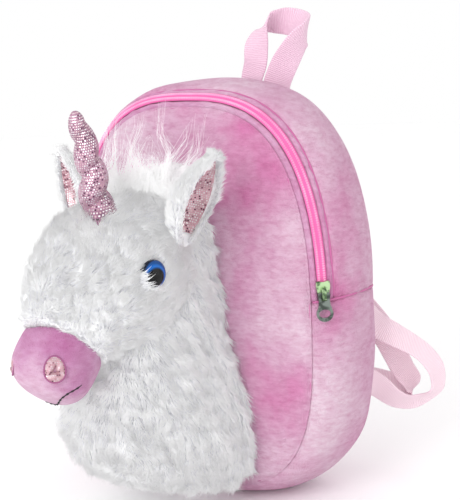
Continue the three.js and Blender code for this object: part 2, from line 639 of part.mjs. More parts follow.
// The arch that the pull's cross bar turns in: it stands on the plate and runs along the zip.
function bridge() {
  const half = bridgeRoom / 2 + 1.6;
  const top = bridgeRoom + bridgeBar;
  const side = new THREE.Shape();
  side.moveTo(-half - bridgeBar, -0.2);
  side.lineTo(-half, -0.2);
  side.lineTo(-half, bridgeRoom - 0.5);
  side.lineTo(-half + 0.5, bridgeRoom);
  side.lineTo(half - 0.5, bridgeRoom);
  side.lineTo(half, bridgeRoom - 0.5);
  side.lineTo(half, -0.2);
  side.lineTo(half + bridgeBar, -0.2);
  side.lineTo(half + bridgeBar * 0.8, top - 0.8);
  side.lineTo(half - 0.4, top);
  side.lineTo(-half + 0.4, top);
  side.lineTo(-half - bridgeBar * 0.8, top - 0.8);
  const body = extruded(side, bridgeWidth, -bridgeWidth / 2);
  body.rotateY(Math.PI / 2);
  body.rotateX(Math.PI / 2);
  body.translate(0, hingeDown, plateTop);
  return body;
}

function sliderBody() {
  const top = extruded(plateShape(sliderWidth, sliderLength, 0.62), sliderPlate, plateFoot);
  const under = plateShape(zipWidth - 2 * seamGap - 0.4, sliderLength * 0.9, 0.7);
  const underFace = -coilDepth - seamGap - 0.2;
  const bottom = extruded(under, underPlate, underFace - underPlate);
  const post = new THREE.BoxGeometry(zipWidth * 0.4, postLength, plateFoot - underFace + 0.6);
  post.translate(0, chainEndUp - 0.8 - postLength / 2, (plateFoot + underFace) / 2);
  return joinAll([top, bottom, post, bridge()]).applyMatrix4(onZip);
}

// The pull: a slotted neck that widens to a ring, hanging from its cross bar.
function pullBody() {
  const neck = pullNeckWidth / 2;
  const ring = pullRingWidth / 2;
  const ringMiddle = -pullLength + ring * 0.95;
  const shape = new THREE.Shape();
  shape.moveTo(-neck * 0.82, eyeBar / 2);
  shape.lineTo(neck * 0.82, eyeBar / 2);
  shape.lineTo(neck, -0.4);
  shape.quadraticCurveTo(neck * 0.72, -pullLength * 0.35, ring * 0.86, ringMiddle + ring * 0.62);
  shape.absellipse(0, ringMiddle, ring, ring * 0.95, Math.PI * 0.2, -Math.PI * 1.2, true);
  shape.quadraticCurveTo(-neck * 0.72, -pullLength * 0.35, -neck, -0.4);
  const slot = new THREE.Path();
  const half = bridgeWidth / 2 + pullClearance;
  const slotFoot = -eyeBar / 2 - bridgeBar - 2 * pullClearance - 1.7;
  slot.moveTo(-half, -eyeBar / 2);
  slot.lineTo(-half, slotFoot);
  slot.lineTo(half, slotFoot);
  slot.lineTo(half, -eyeBar / 2);
  const hole = new THREE.Path(between(0, 2 * Math.PI, 16).slice(0, -1).map((turn) => (
    new THREE.Vector2(ring * 0.68 * Math.cos(turn), ringMiddle + ring * 0.5 * Math.sin(turn))
  )));
  shape.holes.push(slot, hole);
  const body = extruded(shape, pullThickness, -pullThickness / 2);
  body.translate(0, hingeDown, hingeLift);
  return toGeometry(toSolid(body)).applyMatrix4(onZip);
}

// The assembly

const group = new THREE.Group();
group.position.set(-hangSide, -hangBack, -hangHeight);

function add(name, geometry, material) {
  const mesh = new THREE.Mesh(geometry, material);
  mesh.name = name;
  group.add(mesh);
}

const upperStart = turnAtHeight(crossSeamHeight + seamGap / 2);
const lowerStart = turnAtHeight(crossSeamHeight - seamGap / 2);
const upperEnd = Math.PI - upperStart;
const lowerEnd = Math.PI - lowerStart - 2 * Math.PI;
const zipStart = turnAtHeight(sliderHeight + chainEndUp);

add('front_panel', endPanel(-1, frontSwell, frontCrown, [0, 0.45, 0.75, 0.9, 0.97, 1], 40), pinkPlush);
add('back_panel', endPanel(1, backSwell, backCrown, [0, backFlatShare, 0.8, 0.94, 1], 40), pinkPlush);
add('front_strip', gussetBand(0, zipFrom - seamWrap, 2, upperStart, upperEnd, 34), paleStrip);
add('zip_chain', gussetBand(zipFrom, zipTo, 2, zipStart, upperEnd, 34, coilRise, coilDepth), zipPink);
add('rear_strip', gussetBand(zipTo + seamWrap, rearTo, 2, upperStart, upperEnd, 34), paleStrip);
add('gusset_upper', gussetBand(rearTo + seamWrap, 1, 6, upperStart, upperEnd, 34), pinkPlush);
add('gusset_lower', gussetBand(0, 1, 9, lowerStart, lowerEnd, 30), pinkPlush);
add('zip_slider', sliderBody(), gunmetal);
add('zip_pull', pullBody(), gunmetal);

const pouch = pouchBody(seatGap, 44);
const roomyHead = headBody(seatGap);
add('neck', cutAway(neckBody(22, 0), pouch, roomyHead), whiteFur);
add('head', cutAway(headBody(0), eyeBall(1, seatGap), eyeBall(-1, seatGap)), whiteFur);
add('muzzle', cutAway(muzzleBody(0), nostril(1, seatGap), nostril(-1, seatGap)), muzzlePink);
const roomyNeck = neckBody(22, seatGap);
for (const [word, side] of [['left', 1], ['right', -1]]) {
  add(`eye_${word}`, eyeBall(side, 0), eyeBlue);
  add(`nostril_${word}`, nostril(side, 0), glitterPink);
  add(`ear_${word}`, cutAway(ear(side), roomyHead, roomyNeck), whiteFur);
  add(`ear_lining_${word}`, cutAway(earLining(side), roomyHead, roomyNeck), glitterPink);
}
add('horn', cutAway(hornBody(), roomyHead), glitterPink);
add('mane', cutAway(maneBody(), roomyHead, roomyNeck, pouch), whiteFur);
add('carry_loop', cutAway(carryLoop(), pouch), webbingPink);
add('strap_right', cutAway(shoulderStrap(rightStrapRoute), pouch), webbingPink);
add('strap_left', cutAway(shoulderStrap(leftStrapRoute), pouch), webbingPink);

export default group;
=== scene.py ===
import json
import math

import bmesh
import bpy
import numpy as np
from mathutils import Matrix


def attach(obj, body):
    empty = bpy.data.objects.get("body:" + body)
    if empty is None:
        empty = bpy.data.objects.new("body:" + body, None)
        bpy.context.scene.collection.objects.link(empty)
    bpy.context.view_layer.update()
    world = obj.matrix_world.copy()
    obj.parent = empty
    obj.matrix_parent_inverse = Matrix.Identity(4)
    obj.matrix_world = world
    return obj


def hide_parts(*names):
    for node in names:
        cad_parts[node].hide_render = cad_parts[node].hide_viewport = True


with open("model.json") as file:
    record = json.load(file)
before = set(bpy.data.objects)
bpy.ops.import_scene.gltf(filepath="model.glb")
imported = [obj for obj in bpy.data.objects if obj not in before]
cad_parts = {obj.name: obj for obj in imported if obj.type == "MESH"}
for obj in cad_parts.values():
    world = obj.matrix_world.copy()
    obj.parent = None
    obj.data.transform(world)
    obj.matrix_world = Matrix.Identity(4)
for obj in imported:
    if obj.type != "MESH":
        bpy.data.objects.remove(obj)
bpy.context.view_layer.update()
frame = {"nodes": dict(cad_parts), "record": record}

# The view. The bag hangs upright by its carry loop just over a white floor, and is seen from beside the
# animal's left cheek, a little above it, in the soft light of a photographer's tent.
base_mount = next(m for m in frame["record"]["mounts"] if m["name"] == "base")
foot = np.array(base_mount["pos_m"]) - (0.006, -0.0005, 0.0)

view_turn, view_rise, view_roll = np.radians((37.55, 11.22, -2.19))
view_distance = 0.8812
view_aim = foot + (0, 0, 0.150)
away = np.array((math.sin(view_turn) * math.cos(view_rise), -math.cos(view_turn) * math.cos(view_rise),
                 math.sin(view_rise)))
level = np.array((math.cos(view_turn), math.sin(view_turn), 0))
upright = np.cross(away, level)
right = level * math.cos(view_roll) + upright * math.sin(view_roll)
up = upright * math.cos(view_roll) - level * math.sin(view_roll)
camera = bpy.data.objects.new("camera", bpy.data.cameras.new("camera"))
camera.data.lens, camera.data.sensor_width = 84.96, 36
camera.data.shift_x, camera.data.shift_y = 0.0154, 0.0655
camera.matrix_world = Matrix([[*row, place] for row, place in zip(
    np.stack([right, up, away], 1), view_aim + away * view_distance)] + [[0, 0, 0, 1]])
bpy.context.collection.objects.link(camera)
bpy.context.scene.camera = camera
bpy.context.scene.view_settings.view_transform = "Standard"

world = bpy.data.worlds.new("tent")
world.use_nodes = True
world.node_tree.nodes["Background"].inputs["Color"].default_value = (1.0, 1.0, 1.0, 1)
world.node_tree.nodes["Background"].inputs["Strength"].default_value = 1.0
bpy.context.scene.world = world


def lamp(name, turn, rise, distance, size, watts):
    """A square soft box that looks at the bag's middle from a turn and a rise in degrees."""
    light = bpy.data.lights.new(name, "AREA")
    light.size, light.energy = size, watts
    t, r = math.radians(turn), math.radians(rise)
    back = np.array((math.sin(t) * math.cos(r), -math.cos(t) * math.cos(r), math.sin(r)))
    side = np.array((math.cos(t), math.sin(t), 0))
    body = bpy.data.objects.new(name, light)
    body.matrix_world = Matrix([[*row, place] for row, place in zip(
        np.stack([side, np.cross(back, side), back], 1), view_aim + back * distance)] + [[0, 0, 0, 1]])
    bpy.context.collection.objects.link(body)


lamp("key_light", 6, 20, 1.4, 0.8, 9.5)
lamp("side_light", 100, 8, 1.5, 1.0, 2.2)


def tint(text):
    """Linear red, green, blue and one from a colour written as #RRGGBB."""
    c = np.array([int(text[i:i + 2], 16) for i in (1, 3, 5)]) / 255
    return (*np.where(c <= 0.04045, c / 12.92, ((c + 0.055) / 1.055) ** 2.4), 1.0)


def node(tree, kind, feeds=None, **settings):
    """Adds a shader node, sets its attributes, and fills its inputs with numbers or with other nodes'
    outputs."""
    made = tree.nodes.new("ShaderNode" + kind)
    for key, value in settings.items():
        setattr(made, key, value)
    for key, value in (feeds or {}).items():
        socket = made.inputs[key]
        if isinstance(value, bpy.types.NodeSocket):
            tree.links.new(value, socket)
        else:
            socket.default_value = value
    return made


def material(name, colour, roughness, **fixed):
    """A Principled material of one colour, with more of its sockets set by name."""
    made = bpy.data.materials.new(name)
    made.use_nodes = True
    shader = made.node_tree.nodes["Principled BSDF"]
    shader.inputs["Base Color"].default_value = tint(colour)
    shader.inputs["Roughness"].default_value = roughness
    for key, value in fixed.items():
        shader.inputs[key.replace("_", " ")].default_value = value
    return made, made.node_tree, shader


def ramp(tree, value, *stops):
    """A colour ramp over a value, from pairs of place and colour."""
    made = node(tree, "ValToRGB", {"Fac": value})
    while len(made.color_ramp.elements) < len(stops):
        made.color_ramp.elements.new(0.5)
    for element, (place, colour) in zip(made.color_ramp.elements, stops):
        element.position = place
        element.color = tint(colour) if isinstance(colour, str) else (colour, colour, colour, 1)
    return made.outputs["Color"]


def unit(vector):
    """The vector at length one."""
    return vector / np.maximum(np.linalg.norm(vector, axis=-1, keepdims=True), 1e-12)


def weld(mesh, near, short):
    """Joins a mesh's points that lie together, takes out what has no area, and turns the faces outwards."""
    work = bmesh.new()
    work.from_mesh(mesh)
    bmesh.ops.remove_doubles(work, verts=work.verts, dist=near)
    bmesh.ops.dissolve_degenerate(work, edges=work.edges, dist=short)
    bmesh.ops.recalc_face_normals(work, faces=work.faces)
    work.to_mesh(mesh)
    work.free()


def smooth_piece(name, mesh, finish):
    """A smooth piece of one finish from a mesh."""
    mesh.polygons.foreach_set("use_smooth", np.ones(len(mesh.polygons), bool))
    mesh.materials.append(finish)
    piece = bpy.data.objects.new(name, mesh)
    bpy.context.collection.objects.link(piece)
    return piece


def surface(name, grid, finish, uv=None):
    """Joins the neighbours of a grid of points with four-sided faces. Rows that meet, such as a closed
    grid's first and last or a pole's, are welded, and the faces are turned outwards."""
    rows, columns = grid.shape[:2]
    index = np.arange(rows * columns).reshape(rows, columns)
    quads = np.stack([index[:-1, :-1], index[1:, :-1], index[1:, 1:], index[:-1, 1:]], -1).reshape(-1, 4)
    mesh = bpy.data.meshes.new(name)
    mesh.from_pydata((grid.reshape(-1, 3) + foot).tolist(), [], quads.tolist())
    if uv is not None:
        mesh.uv_layers.new(name="flat").data.foreach_set("uv", uv.reshape(-1, 2)[quads.ravel()].ravel())
    weld(mesh, 2e-6, 1e-6)
    return smooth_piece(name, mesh, finish)


floor_white, _, _ = material("floor_white", "#FFFFFF", 0.9)
floor_reach, floor_gap = 4, 0.0005
reach = np.linspace(0, 1, 12)[:, None] ** 2 * floor_reach
around = np.linspace(0, 2 * np.pi, 65)
floor_grid = np.stack([reach * np.cos(around), reach * np.sin(around), 0 * reach * around - floor_gap], -1)
floor = surface("floor", floor_grid, floor_white)

# The pouch: two domed end panels and a gusset of short-pile pink plush, sewn edge to edge inside out and
# turned, so that each seam is a fine groove with small puckers. The dye is blotchy, and spots laid over
# it paint light and shade.
pouch_width, pouch_height, pouch_depth = 0.240, 0.300, 0.0726
widest = 0.1282
side_swell, bottom_swell, bottom_press = 0.0175, 0.012, 0.0035
seam_half_width = pouch_width / 2 - side_swell
upper_rise = pouch_height - side_swell - widest
lower_drop = widest + bottom_press - bottom_swell
upper_power, lower_power = 2.79, 2.89
plush_wall, seam_gap = 0.003, 0.0003
front_swell, back_swell, back_flat = 0.008, 0.004, 0.55
cross_seam_height = 0.152
zip_centre, zip_width, rear_strip_width = 0.0084, 0.007, 0.005


def signed_power(value, power):
    """A value's size raised to a power, with its sign kept."""
    return np.sign(value) * np.abs(value) ** power


def outline(turn, swell=0.0, low_swell=0.0):
    """The pouch's squared oval at an angle from +X: half width times the signed power of the cosine, and
    height times that of the sine, with the upper and the lower half of different height and squareness."""
    upper = np.sin(turn) >= 0
    power = 2 / np.where(upper, upper_power, lower_power)
    tall = np.where(upper, upper_rise + swell, lower_drop + low_swell)
    return (seam_half_width + swell) * signed_power(np.cos(turn), power), widest + tall * signed_power(
        np.sin(turn), power)


def turn_at(height):
    """The angle at which the upper half of the seam's oval reaches a height."""
    return np.arcsin(((height - widest) / upper_rise) ** (upper_power / 2))


def gusset(turn, wrap, inset):
    """The gusset: half an oval from the front seam to the back seam, carried round the pouch's outline.
    The inset goes square into the plush, and along the rims near the two seams."""
    bulge = np.sin(np.pi * wrap)
    square = np.minimum(1, np.minimum(wrap / 0.06, (1 - wrap) / 0.06))
    steep = np.hypot(pouch_depth / 2 * bulge, side_swell * np.cos(np.pi * wrap))
    out_x = square * pouch_depth / 2 * bulge / steep
    out_x = out_x + 1 - square
    out_y = -square * side_swell * np.cos(np.pi * wrap) / steep
    length = np.hypot(out_x, out_y)
    out_x, out_y = -inset * out_x / length, -inset * out_y / length
    x, z = outline(turn, side_swell * bulge + out_x, bottom_swell * bulge + out_x)
    y = out_y - pouch_depth / 2 * np.cos(np.pi * wrap)
    return np.stack(np.broadcast_arrays(x, y, np.maximum(z, inset)), -1)


def wrap_at(distance):
    """The wrap at a distance over the gusset from the front seam, by adding up its small steps."""
    t = np.linspace(0, 0.5, 2001)
    run = np.concatenate([[0], np.cumsum(np.hypot(pouch_depth / 2 * np.sin(np.pi * t[1:]),
                                                  side_swell * np.cos(np.pi * t[1:])) * np.pi * np.diff(t))])
    return np.interp(distance, run, t)


def waves(place, size, seed, count=14):
    """Soft uneven waves of about one size, mostly from -1 to 1: the sum of sines of the place along random
    directions, over the root of their count."""
    rng = np.random.default_rng(seed)
    heading = rng.normal(size=(count, 3))
    norm = np.linalg.norm(heading, axis=1, keepdims=True)
    heading *= 2 * np.pi / size * rng.uniform(0.6, 1.5, (count, 1)) / norm
    phase = rng.uniform(0, 2 * np.pi, count)
    return np.sin(place @ heading.T + phase).sum(-1) / np.sqrt(count)


def seam_dip(distance, turn, depth=0.0016, reach=0.0045):
    """How deep the plush lies under its full height near a seam: a dip that ends at its reach, and puckers
    across the seam that fade out over three times that distance."""
    dip = depth * np.clip(1 - distance / reach, 0, 1) ** 2
    ripple = waves(np.stack([turn * 0.11, 0 * turn, 0 * turn], -1), 0.009, 5)
    return dip + 0.00035 * ripple * np.exp(-distance / (2 * reach))


def shell(name, outer, inner, finish, ends=True):
    """A closed thick sheet: the outer grid's rows, then the inner grid's backwards. Where the sheet has two
    ends, each is closed by a last row in the middle of its thickness."""
    ring = np.concatenate([outer, inner[:, ::-1], outer[:, :1]], 1)
    if ends:
        middle = (outer + inner) / 2
        closed = np.concatenate([middle, middle[:, ::-1], middle[:, :1]], 1)
        ring = np.concatenate([closed[:1], ring, closed[-1:]])
    return surface(name, ring, finish)


def add_dye_and_light_spots(piece, *dye_and_light_spots):
    """Gives a piece its larger blotches of dye and its spots of painted light and shade: for each spot a soft
    round bump of its strength, over its reach, around its place in the bag's frame. A spot of negative
    strength is deeper pink."""
    points = np.empty(len(piece.data.vertices) * 3)
    piece.data.vertices.foreach_get("co", points)
    points = points.reshape(-1, 3) - foot
    value = np.zeros(len(points))
    for x, y, z, reach, strength in dye_and_light_spots:
        value += strength * np.exp(-((points - (x, y, z)) ** 2).sum(-1) / (2 * reach ** 2))
    piece.data.attributes.new("dye_and_light", "FLOAT", "POINT").data.foreach_set("value", value.astype(np.float32))


def plush(name, pale, full, deep, patch=0.045):
    """Short plush: blotches of dye over Object coordinates and the piece's own spots of dye and of painted
    light and shade, streaks where the pile is brushed, and a fine nap."""
    made, tree, shader = material(name, full, 0.92, Sheen_Weight=0.25, Sheen_Roughness=0.45)
    shader.inputs["Sheen Tint"].default_value = tint("#FFDDEE")
    place = node(tree, "TexCoord").outputs["Object"]
    blotch = node(tree, "TexNoise", {"Vector": place, "Scale": 1 / patch, "Detail": 3.0, "Roughness": 0.55})
    laid = node(tree, "VectorMath", {0: place, 1: (0.6, 0.6, 1.5)}, operation="MULTIPLY")
    brushed = node(tree, "TexNoise", {"Vector": laid.outputs[0], "Scale": 230.0, "Detail": 4.0,
                                      "Roughness": 0.7})
    nap = node(tree, "TexNoise", {"Vector": place, "Scale": 1500.0, "Detail": 2.0})
    dye_and_light_spots = node(tree, "Attribute", attribute_name="dye_and_light").outputs["Fac"]
    dye_and_light = node(tree, "Math", {0: blotch.outputs["Fac"], 1: dye_and_light_spots}, operation="ADD")
    colour = ramp(tree, dye_and_light.outputs[0], (0.17, deep), (0.47, full), (0.80, pale))
    streak = ramp(tree, brushed.outputs["Fac"], (0.3, "#E6C2D5"), (0.62, "#FFFFFF"))
    mixed = node(tree, "Mix", {6: colour, 7: streak, 0: 0.8}, data_type="RGBA", blend_type="MULTIPLY")
    tree.links.new(mixed.outputs[2], shader.inputs["Base Color"])
    rise = node(tree, "Math", {0: brushed.outputs["Fac"], 1: nap.outputs["Fac"]}, operation="ADD")
    bump = node(tree, "Bump", {"Strength": 1.0, "Distance": 0.0016, "Height": rise.outputs[0]})
    tree.links.new(bump.outputs["Normal"], shader.inputs["Normal"])
    return made


pink_plush = plush("pink_plush", "#E9D0DF", "#DBACC8", "#D67DB0")
pale_plush = plush("pale_plush", "#E2BFD6", "#D9A3C6", "#D07FB2")
round_turns = np.linspace(0, 2 * np.pi, 321)[:, None]
side_start = turn_at(cross_seam_height + seam_gap / 2)
side_end = np.pi - side_start
upper_turns = np.linspace(side_start, side_end, 261)[:, None]
low_start = turn_at(cross_seam_height - seam_gap / 2)
lower_turns = np.linspace(low_start, -np.pi - low_start, 241)[:, None]


def end_panel(name, facing, swell, crown):
    """An end panel: the pouch's outline shrunk towards its middle by a share, and lifted by the crown there.
    The cloth dips at its rim into the seam."""
    share = np.sin(np.linspace(0, np.pi / 2, 70))[None]
    rim = pouch_depth / 2 + seam_gap
    distance = (1 - share) * seam_half_width
    flat_x, flat_z = outline(round_turns)
    sheets = []
    inner_size = 1 - plush_wall / seam_half_width
    for size, height, dips in ((1, swell + plush_wall, True), (inner_size, swell, False)):
        x, z = share * size * flat_x, widest + share * size * (flat_z - widest)
        rise = height * crown(share)
        place = np.stack(np.broadcast_arrays(x, 0 * x, z), -1)
        if dips:
            rise = rise + 0.0006 * waves(place, 0.05, 3) * np.clip(distance / 0.02, 0, 1)
            rise = rise - seam_dip(distance, round_turns + 0 * share) * np.clip(distance / 0.001, 0, 1)
        sheets.append(np.stack(np.broadcast_arrays(x, facing * (rim + rise), z), -1))
    piece = shell(name, *sheets, pink_plush, ends=False)
    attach(piece, "bag")
    return piece


front = end_panel("plush_front", -1, front_swell, lambda s: np.sqrt(np.clip(1 - s ** 3, 0, 1)))
# The three deeper pink spots at the top of the panel's near side, beside the ear and the neck, are painted
# shade.
add_dye_and_light_spots(front, (0.086, -0.046, 0.084, 0.018, -0.3), (0.098, -0.046, 0.100, 0.010, -0.2),
     (0.073, -0.046, 0.264, 0.018, -0.12), (0.064, -0.046, 0.232, 0.018, -0.2),
     (0.047, -0.046, 0.273, 0.020, -0.2), (0.087, -0.046, 0.141, 0.024, 0.13),
     (-0.053, -0.046, 0.259, 0.024, 0.3), (0.073, -0.046, 0.040, 0.014, 0.2))
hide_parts("front_panel")
back = end_panel("plush_back", 1, back_swell, lambda s: np.sqrt(
    np.clip(1 - (np.clip(s - back_flat, 0, 1) / (1 - back_flat)) ** 2, 0, 1)))
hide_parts("back_panel")


def gusset_piece(name, node_name, turns, wrap_from, wrap_to, count, finish, slot):
    """A stretch of the gusset with its thickness. Its outer face dips along every edge that is sewn."""
    wrap = wrap_from + (wrap_to - wrap_from) * (1 - np.cos(np.linspace(0, np.pi, count)))[None] / 2
    run = np.minimum(wrap - wrap_from, wrap_to - wrap) * np.pi * pouch_depth / 2
    along = np.minimum(np.abs(turns - turns[0]), np.abs(turns - turns[-1])) * 0.12
    dip = np.maximum(seam_dip(run, turns + 0 * wrap),
                     seam_dip(along + 0 * wrap, wrap * 2 + 0 * turns, 0.001, 0.003))
    place = gusset(turns, wrap, 0 * wrap)
    dip = dip - 0.0007 * waves(place, 0.06, 8) * np.clip(run / 0.012, 0, 1)
    piece = shell(name, gusset(turns, wrap, dip), gusset(turns, wrap, plush_wall + 0 * wrap), finish)
    # These spots paint light and shade on the gusset: paler at the foot of the near flank, as light bounced
    # up from the floor, and over the top, and deeper pink along the middle of the near flank, in shade.
    add_dye_and_light_spots(piece, (0.118, -0.034, 0.060, 0.026, 0.3), (0.118, -0.010, 0.207, 0.028, -0.1),
         (0.02, 0.0, 0.3, 0.03, 0.2), (0.09, -0.01, 0.265, 0.02, 0.12), (0.12, -0.03, 0.15, 0.016, -0.12))
    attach(piece, "bag")
    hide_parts(node_name)


zip_from, zip_to = wrap_at(zip_centre - zip_width / 2), wrap_at(zip_centre + zip_width / 2)
rear_to, gap_wrap = wrap_at(zip_centre + zip_width / 2 + rear_strip_width), wrap_at(seam_gap)
for name, turns, wraps, count, finish, slot in (
        ("gusset_upper", upper_turns, (rear_to + gap_wrap, 1), 56, pink_plush, "pink_plush"),
        ("gusset_lower", lower_turns, (0, 1), 70, pink_plush, "pink_plush"),
        ("front_strip", upper_turns, (0, zip_from - gap_wrap), 14, pale_plush, "pale_pink_plush"),
        ("rear_strip", upper_turns, (zip_to + gap_wrap, rear_to), 14, pale_plush, "pale_pink_plush")):
    gusset_piece(f"plush_{name}", name, turns, *wraps, count, finish, slot)

# The sewing thread: a line of deep pink stitches at the bottom of every seam of the pouch, which shows
# where the plush on both sides rolls away from it.
seam_pink, _, _ = material("seam_pink", "#BE6698", 0.8, Sheen_Weight=0.1)
thread_radius = 0.0009
end_inset, strip_inset, cross_inset = 0.0010, 0.0017, 0.0012


def thread(name, line, closed=False):
    """A round thread along a line of points: a circle square to the line at each of them. An open thread
    ends in a point."""
    way = np.gradient(line, axis=0)
    if closed:
        way[0] = way[-1] = line[1] - line[-2]
    way = unit(way)
    side = unit(np.cross(way, unit(line - line.mean(0) + 1e-9)))
    over = np.cross(side, way)
    turn = np.linspace(0, 2 * np.pi, 7)[None, :, None]
    grid = line[:, None] + thread_radius * (side[:, None] * np.cos(turn) + over[:, None] * np.sin(turn))
    if not closed:
        grid[0], grid[-1] = line[0], line[-1]
    piece = surface(name, grid, seam_pink)
    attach(piece, "bag")


ring = np.linspace(0, 2 * np.pi, 401)
flank = np.linspace(0.02, 0.98, 60)
for word, wrap_place in (("front", 0.0), ("back", 1.0)):
    sunk = gusset(ring, np.full(401, wrap_place), np.full(401, end_inset))
    thread(f"seam_{word}", sunk, closed=True)
thread("seam_rear_strip", gusset(upper_turns.ravel(), np.full(261, rear_to + gap_wrap / 2),
                                 np.full(261, strip_inset)))
for word, place in (("near", turn_at(cross_seam_height)), ("far", np.pi - turn_at(cross_seam_height))):
    thread(f"seam_cross_{word}", gusset(np.full(60, place), flank, np.full(60, cross_inset)))

# The zip: two rows of moulded nylon coil on a narrow woven tape, closed over the top of the pouch. The
# slider is parked at the cross seam on the near flank, with its pull hanging down.
tape_rise, tape_depth = -0.0004, 0.0018
coil_pitch, coil_row, coil_half_width, coil_height = 0.0016, 0.0018, 0.001, 0.0013
slider_height, slider_cover = 0.159, 0.0022
zip_start = turn_at(slider_height + slider_cover)
tape_pink, _, _ = material("tape_pink", "#DC64A3", 0.75, Sheen_Weight=0.1)
coil_pink, coil_tree, coil_shader = material("coil_pink", "#F293C3", 0.4, Coat_Weight=0.15)
coil_place = node(coil_tree, "TexCoord").outputs["Object"]
coil_tone = node(coil_tree, "TexNoise", {"Vector": coil_place, "Scale": 60.0, "Detail": 2.0})
coil_tree.links.new(ramp(coil_tree, coil_tone.outputs["Fac"], (0.3, "#F296C6"), (0.7, "#FAB6D8")),
                    coil_shader.inputs["Base Color"])
tape_turns = np.linspace(zip_start, side_end, 321)[:, None]
tape_wraps = np.linspace(zip_from, zip_to, 9)[None]
tape = shell("zip_tape", gusset(tape_turns, tape_wraps, -tape_rise + 0 * tape_turns),
             gusset(tape_turns, tape_wraps, tape_depth + 0 * tape_turns), tape_pink)
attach(tape, "bag")
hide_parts("zip_chain")


def coil_teeth():
    """Both rows of the coil as small rounded bars across the rows. Each bar is a ball stretched along three
    directions on the gusset: across the row, along it, and outwards. The rows are half a pitch apart."""
    line = gusset(np.linspace(zip_start, side_end, 3001), np.full(3001, wrap_at(zip_centre)), np.zeros(3001))
    run = np.concatenate([[0], np.cumsum(np.linalg.norm(np.diff(line, axis=0), axis=1))])
    count = int(run[-1] / coil_pitch)
    turns, wraps = [], []
    for row, shift in ((-1, 0.25), (1, 0.75)):
        at = (np.arange(count) + shift) * coil_pitch
        turns.append(np.interp(at, run, np.linspace(zip_start, side_end, 3001)))
        wraps.append(np.full(count, wrap_at(zip_centre + row * coil_row)))
    turns, wraps = np.concatenate(turns), np.concatenate(wraps)
    middle = gusset(turns, wraps, np.full(len(turns), -tape_rise))
    along = unit(gusset(turns + 0.004, wraps, 0 * turns) - gusset(turns - 0.004, wraps, 0 * turns))
    across = unit(gusset(turns, wraps + 0.01, 0 * turns) - gusset(turns, wraps - 0.01, 0 * turns))
    out = np.cross(across, along)
    down, round_ = np.meshgrid(np.linspace(0, np.pi, 5), np.linspace(0, 2 * np.pi, 9)[:-1], indexing="ij")
    ball = np.stack([np.cos(down) * coil_half_width, np.sin(down) * np.cos(round_) * coil_pitch * 0.44,
                     np.sin(down) * np.sin(round_) * coil_height], -1).reshape(-1, 3)
    points = middle[:, None] + (across[:, None] * ball[:, :1] + along[:, None] * ball[:, 1:2]
                                + out[:, None] * ball[:, 2:])
    index = np.arange(40).reshape(5, 8)
    faces = np.stack([index[:-1], index[1:], np.roll(index, -1, 1)[1:], np.roll(index, -1, 1)[:-1]], -1)
    faces = (faces.reshape(1, -1, 4) + 40 * np.arange(len(turns))[:, None, None]).reshape(-1, 4)
    return points.reshape(-1, 3), faces


tooth_points, tooth_faces = coil_teeth()
tooth_mesh = bpy.data.meshes.new("zip_coils")
tooth_mesh.from_pydata((tooth_points + foot).tolist(), [], tooth_faces.tolist())
weld(tooth_mesh, 1e-6, 1e-7)
zip_coils = smooth_piece("zip_coils", tooth_mesh, coil_pink)
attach(zip_coils, "bag")

for node_name, dark, bright in (("zip_slider", "#4C6247", "#BAD8A6"), ("zip_pull", "#464D48", "#7C857F")):
    gunmetal, gun_tree, gun_shader = material(f"gunmetal_{node_name}", bright, 0.3, Metallic=0.85)
    gun_place = node(gun_tree, "TexCoord").outputs["Object"]
    gun_wear = node(gun_tree, "TexNoise", {"Vector": gun_place, "Scale": 260.0, "Detail": 2.0})
    gun_tree.links.new(ramp(gun_tree, gun_wear.outputs["Fac"], (0.38, dark), (0.55, bright)),
                       gun_shader.inputs["Base Color"])
    cast = frame["nodes"][node_name]
    cast.data.materials.clear()
    cast.data.materials.append(gunmetal)

# The animal's neck and chest: a stuffed body of white long-pile plush, sewn onto the front panel along its
# edge. The pile is combed down and lies in small clumps.
neck_half_width, chest_reach, neck_top = 0.060, 0.151, 0.243
pile_depth, lock_width = 0.0045, 0.0004
# The white fur glows faintly: its emission is painted light that fills the shade between its locks.
white_fur, fur_tree, fur_shader = material(
    "white_fur", "#FBFBFC", 0.8, Sheen_Weight=0.15, Sheen_Roughness=0.4, Subsurface_Weight=0.5,
    Subsurface_Scale=0.004, Emission_Color=(1, 1, 1, 1), Emission_Strength=0.13)
fur_shader.inputs["Subsurface Radius"].default_value = (1.0, 1.0, 1.0)
# Painted shade: the locks are darker towards their roots, as the shade deep in the pile, and lighter or
# darker at random by lock and by clump.
fur_lock_shade = node(fur_tree, "Attribute", attribute_name="lock_shade_and_tone")
fur_shaded_colour = ramp(fur_tree, fur_lock_shade.outputs["Fac"], (0.0, "#B9B8C0"), (0.4, "#EEEEF1"), (0.75, "#FFFFFF"))
fur_tree.links.new(fur_shaded_colour, fur_shader.inputs["Base Color"])


def through(rows, count):
    """A smooth curve through rows of numbers: between two rows, a cubic whose slopes come from their
    neighbours on both sides."""
    rows = np.asarray(rows, float)
    t = np.linspace(0, len(rows) - 1, count)
    i = np.minimum(t.astype(int), len(rows) - 2)
    f = (t - i)[:, None]
    slope = np.gradient(rows, axis=0)
    a, b, p, q = rows[i], rows[i + 1], slope[i], slope[i + 1]
    return a + f * p + f ** 2 * (3 * (b - a) - 2 * p - q) + f ** 3 * (2 * (a - b) + p + q)


